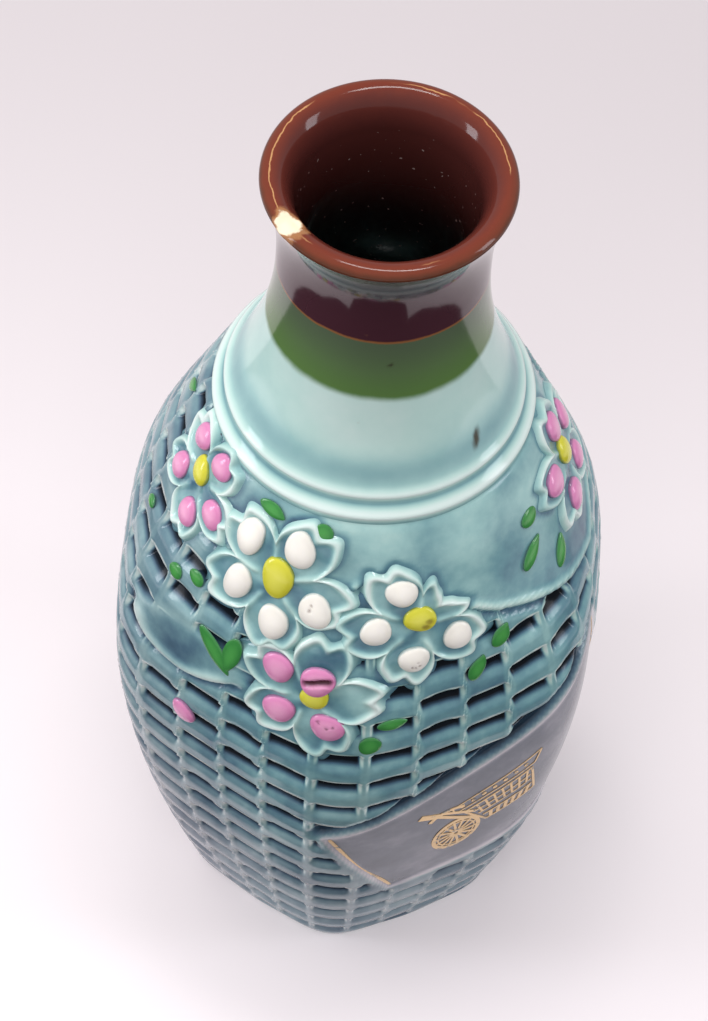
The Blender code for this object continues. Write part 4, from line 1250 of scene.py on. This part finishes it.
# %% Wheel
WHEEL_RADIUS = 5.6
WHEEL_STRETCH = (0.86, 1.24)            # the painter drew the wheel taller than wide
HUB_RADIUS = 1.0
SPOKES = 14
wheel_bm = bmesh.new()
lay_ribbon(wheel_bm, arc((0, 0), WHEEL_RADIUS, 0, 360, 60), 1.05, closed=True)
lay_ribbon(wheel_bm, arc((0, 0), WHEEL_RADIUS - 1.1, 0, 360, 60), 0.40, closed=True)
lay_ribbon(wheel_bm, arc((0, 0), HUB_RADIUS, 0, 360, 20), 1.00, closed=True)
for spoke in range(SPOKES):
    turn = 2.0 * math.pi * spoke / SPOKES
    start = (HUB_RADIUS * math.cos(turn), HUB_RADIUS * math.sin(turn))
    end = ((WHEEL_RADIUS - 0.2) * math.cos(turn + 0.06), (WHEEL_RADIUS - 0.2) * math.sin(turn + 0.06))
    lay_ribbon(wheel_bm, line(start, end, 4), 0.62)
for vert in wheel_bm.verts:
    vert.co.x *= WHEEL_STRETCH[0]
    vert.co.y *= WHEEL_STRETCH[1]
close_ribbons(wheel_bm, "gilt_cart_wheel", ("gilt_wheel",))
print("wheel spokes:", SPOKES)

# %% Carriage, roof and shaft
CARRIAGE = ((6.5, 1.5), (17.0, 6.0), (14.8, 17.5), (0.5, 10.0))
ROOF = ((-1.5, 11.0), (15.2, 19.4), (16.2, 24.0), (-2.5, 13.6))


def between(corners, along, rise):
    """Point at shares along and up a four-cornered outline."""
    low = Vector(corners[0]).lerp(Vector(corners[1]), along)
    high = Vector(corners[3]).lerp(Vector(corners[2]), along)
    return low.lerp(high, rise)


def lay_frame(bm, corners, width):
    for first, second in ((0, 1), (1, 2), (2, 3), (3, 0)):
        lay_ribbon(bm, line(corners[first], corners[second], 10), width)


carriage_bm = bmesh.new()
lay_frame(carriage_bm, CARRIAGE, 0.55)
for rise in (0.30, 0.52, 0.74):
    lay_ribbon(carriage_bm, line(between(CARRIAGE, 0.06, rise), between(CARRIAGE, 0.96, rise), 10), 0.46)
for column in range(1, 8):
    along = column / 8.0
    post = line(between(CARRIAGE, along, 0.52), between(CARRIAGE, along + 0.05, 0.97), 4)
    lay_ribbon(carriage_bm, post, 0.50)
for column in range(6):
    along = 0.10 + column / 7.0
    slat = line(between(CARRIAGE, along, 0.03), between(CARRIAGE, along + 0.10, 0.30), 3)
    lay_ribbon(carriage_bm, slat, 0.80)
close_ribbons(carriage_bm, "gilt_cart_carriage", ("gilt_carriage",))

roof_bm = bmesh.new()
lay_frame(roof_bm, ROOF, 0.40)
for dot in range(7):
    spot = between(ROOF, 0.10 + dot / 8.0, 0.5)
    lay_ribbon(roof_bm, arc(spot, 0.30, 0, 360, 8), 0.45, closed=True)
close_ribbons(roof_bm, "gilt_cart_roof", ("gilt_roof",))

shaft_bm = bmesh.new()
lay_ribbon(shaft_bm, line((2.0, 6.2), (-5.5, 12.6), 6), 1.0)
lay_ribbon(shaft_bm, line((3.0, 8.6), (-5.0, 13.6), 6), 0.9)
lay_ribbon(shaft_bm, arc((-2.4, 9.0), 4.9, 62, 160, 12), 1.0)
lay_ribbon(shaft_bm, line((-4.6, 12.4), (-9.6, 14.9), 5), 1.8)
close_ribbons(shaft_bm, "gilt_cart_shaft", ("gilt_shaft",))
print("cart drawn")


# %% Gilt lines at the panel's ends
def panel_surface(along, rise, lift):
    """World points on the sunk panel. The rise is the share of its sagging height."""
    sag = PANEL_SAG * 4.0 * along * (1.0 - along)
    azimuth, z = panel_place(along, rise * (1.0 + sag) - sag)
    return wall_point(azimuth, z) + wall_normal(azimuth, z) * lift[:, None]


def build_end_line(name, along, node):
    """A gilt line from the panel's lower edge to its upper one, at a share of its length."""
    bm = bmesh.new()
    lay_ribbon(bm, line((0.04, along), (0.97, along), 40), END_LINE_WIDTH / PANEL_LENGTH)
    bmesh.ops.recalc_face_normals(bm, faces=bm.faces)
    piece = make_piece(bm, name, gilding, (node,), 40.0)
    flat = read_points(piece.data)
    rise, place = flat[:, 0] / MM, flat[:, 1] / MM
    wander = 0.25 * np.sin(9.0 * rise) / (PANEL_LENGTH / MM)
    write_points(piece.data, panel_surface(place + wander, rise, flat[:, 2] - PANEL_SINK - 0.02 * MM))
    pressed_bm = bmesh.new()
    pressed_bm.from_mesh(piece.data)
    bmesh.ops.recalc_face_normals(pressed_bm, faces=pressed_bm.faces)
    pressed_bm.to_mesh(piece.data)
    pressed_bm.free()


END_LINE_WIDTH = 1.15 * MM
build_end_line("gilt_end_line_left", 0.012, "gilt_line_left")
build_end_line("gilt_end_line_right", 0.988, "gilt_line_right")
print("panel edged")

# %% [markdown]
# ## Floor, light and camera
# The bottle stands on a pale sheet under soft daylight. One wide lamp high on the left gives the shape
# and the soft shadow to the right, and a soft one in front fills it. Two tall windows at the sides and
# a strip above the lip give the reflections that make the glaze look wet.

# %% Floor and world
PAPER_NEAR = -60.0 * MM
PAPER_FAR = 240.0 * MM


def make_paper():
    """Matt paper that greys a little toward the back, where less daylight falls on it, and glows faintly as
    painted light that lifts its shadows.
    """
    material, tree, shader = new_material("matt_glowing_paper", 0.85)
    coords = add_node(tree, "ShaderNodeTexCoord")
    split = add_node(tree, "ShaderNodeSeparateXYZ", {}, {"Vector": coords.outputs["Object"]})
    back = remap(tree, split.outputs["Y"], PAPER_NEAR, PAPER_FAR)
    mottled = add_scaled(tree, back, object_noise(tree, 400.0, 1.0).outputs["Fac"], 0.10)
    ramp = add_node(tree, "ShaderNodeValToRGB", {}, {"Fac": mottled})
    ramp_stops(ramp, ((0.0, "e2dbdd"), (0.5, "d0c9cb"), (1.0, "bfb8ba")))
    tree.links.new(ramp.outputs["Color"], shader.inputs["Base Color"])
    # Painted light: the paper glows faintly pink, which lightens its cast shadows and the glaze facing it.
    shader.inputs["Emission Color"].default_value = tint("f2eaec")
    shader.inputs["Emission Strength"].default_value = 0.15
    return material


floor_bm = bmesh.new()
bmesh.ops.create_grid(floor_bm, x_segments=2, y_segments=2, size=1.5)
floor_mesh = bpy.data.meshes.new("paper_floor")
floor_bm.to_mesh(floor_mesh)
floor_bm.free()
floor_mesh.materials.append(make_paper())
floor = bpy.data.objects.new("paper_floor", floor_mesh)
bpy.context.scene.collection.objects.link(floor)

# A dark cloth lies in front of the sheet, out of the camera's view: the glaze mirrors it in the middle
# of the neck, between the pale reflections of the sheet.
CLOTH_FRONT = ((-260, 120), (-180, 60), (-138, 0), (-116, -50), (-84, -70), (-66, -104), (-48, -76), (0, -71),
               (50, -76), (74, -116), (92, -76), (118, -52), (142, -10), (190, 50), (260, 110))


def lay_cloth():
    bm = bmesh.new()
    near = [bm.verts.new((x * MM, y * MM, 0.4 * MM)) for x, y in CLOTH_FRONT]
    far = [bm.verts.new((x * 2.2 * MM, -520.0 * MM, 0.4 * MM)) for x, _ in CLOTH_FRONT]
    for here in range(len(near) - 1):
        bm.faces.new((far[here], far[here + 1], near[here + 1], near[here]))
    bmesh.ops.recalc_face_normals(bm, faces=bm.faces)
    mesh = bpy.data.meshes.new("dark_cloth")
    bm.to_mesh(mesh)
    bm.free()
    material, tree, shader = new_material("dark_cotton", 0.9)
    weave = add_node(tree, "ShaderNodeValToRGB", {}, {"Fac": object_noise(tree, 3.0, 3.0).outputs["Fac"]})
    ramp_stops(weave, ((0.3, "1d1418"), (0.7, "2b1f24")))
    tree.links.new(weave.outputs["Color"], shader.inputs["Base Color"])
    mesh.materials.append(material)
    cloth = bpy.data.objects.new("dark_cloth", mesh)
    bpy.context.scene.collection.objects.link(cloth)


lay_cloth()

world = bpy.data.worlds.new("soft_room")
world.use_nodes = True
background = world.node_tree.nodes["Background"]
background.inputs["Color"].default_value = tint("f3f0f4")
background.inputs["Strength"].default_value = 0.55
bpy.context.scene.world = world


# %% Lamps
def add_lamp(name, place_mm, aim_mm, size_mm, watts, code="ffffff"):
    """A rectangular soft lamp pointed at a spot."""
    data = bpy.data.lights.new(name, "AREA")
    data.shape = "RECTANGLE"
    data.size, data.size_y = size_mm[0] * MM, size_mm[1] * MM
    data.energy = watts
    data.color = tint(code)[:3]
    lamp = bpy.data.objects.new(name, data)
    bpy.context.scene.collection.objects.link(lamp)
    lamp.location = Vector(place_mm) * MM
    aim = Vector(aim_mm) * MM - lamp.location
    lamp.rotation_euler = aim.to_track_quat("-Z", "Y").to_euler()
    return lamp


key = add_lamp("high_left", (-420, 120, 950), (0, 0, 80), (800, 800), 4.2, "fffdfb")
key.visible_glossy = False
fill = add_lamp("soft_front", (-60, -520, 820), (0, 0, 90), (500, 500), 2.3)
fill.visible_glossy = False
add_lamp("window_left", (-700, -150, 380), (0, 0, 170), (160, 420), 1.6, "f6f8ff")
add_lamp("window_right", (700, -60, 420), (0, 0, 170), (160, 420), 1.2, "f6f8ff")
add_lamp("over_lip", (20, 60, 900), (0, 0, 200), (330, 110), 1.6)

# %% Camera
CAMERA_MM = (11.2, -380.5, 658.5)
CAMERA_DOWN = 55.33
CAMERA_YAW = 2.0
CAMERA_ROLL = 3.98
camera_data = bpy.data.cameras.new("camera")
camera_data.sensor_width = 36.0
camera_data.lens = 123.4
camera = bpy.data.objects.new("camera", camera_data)
bpy.context.scene.collection.objects.link(camera)
yaw = Matrix.Rotation(math.radians(CAMERA_YAW), 4, "Z")
pitch = Matrix.Rotation(math.radians(90.0 - CAMERA_DOWN), 4, "X")
roll = Matrix.Rotation(math.radians(CAMERA_ROLL), 4, "Z")
camera.matrix_world = Matrix.Translation(Vector(CAMERA_MM) * MM) @ yaw @ pitch @ roll
bpy.context.scene.camera = camera
bpy.context.scene.view_settings.view_transform = "Standard"
print("camera set")

# %% Finish
import json
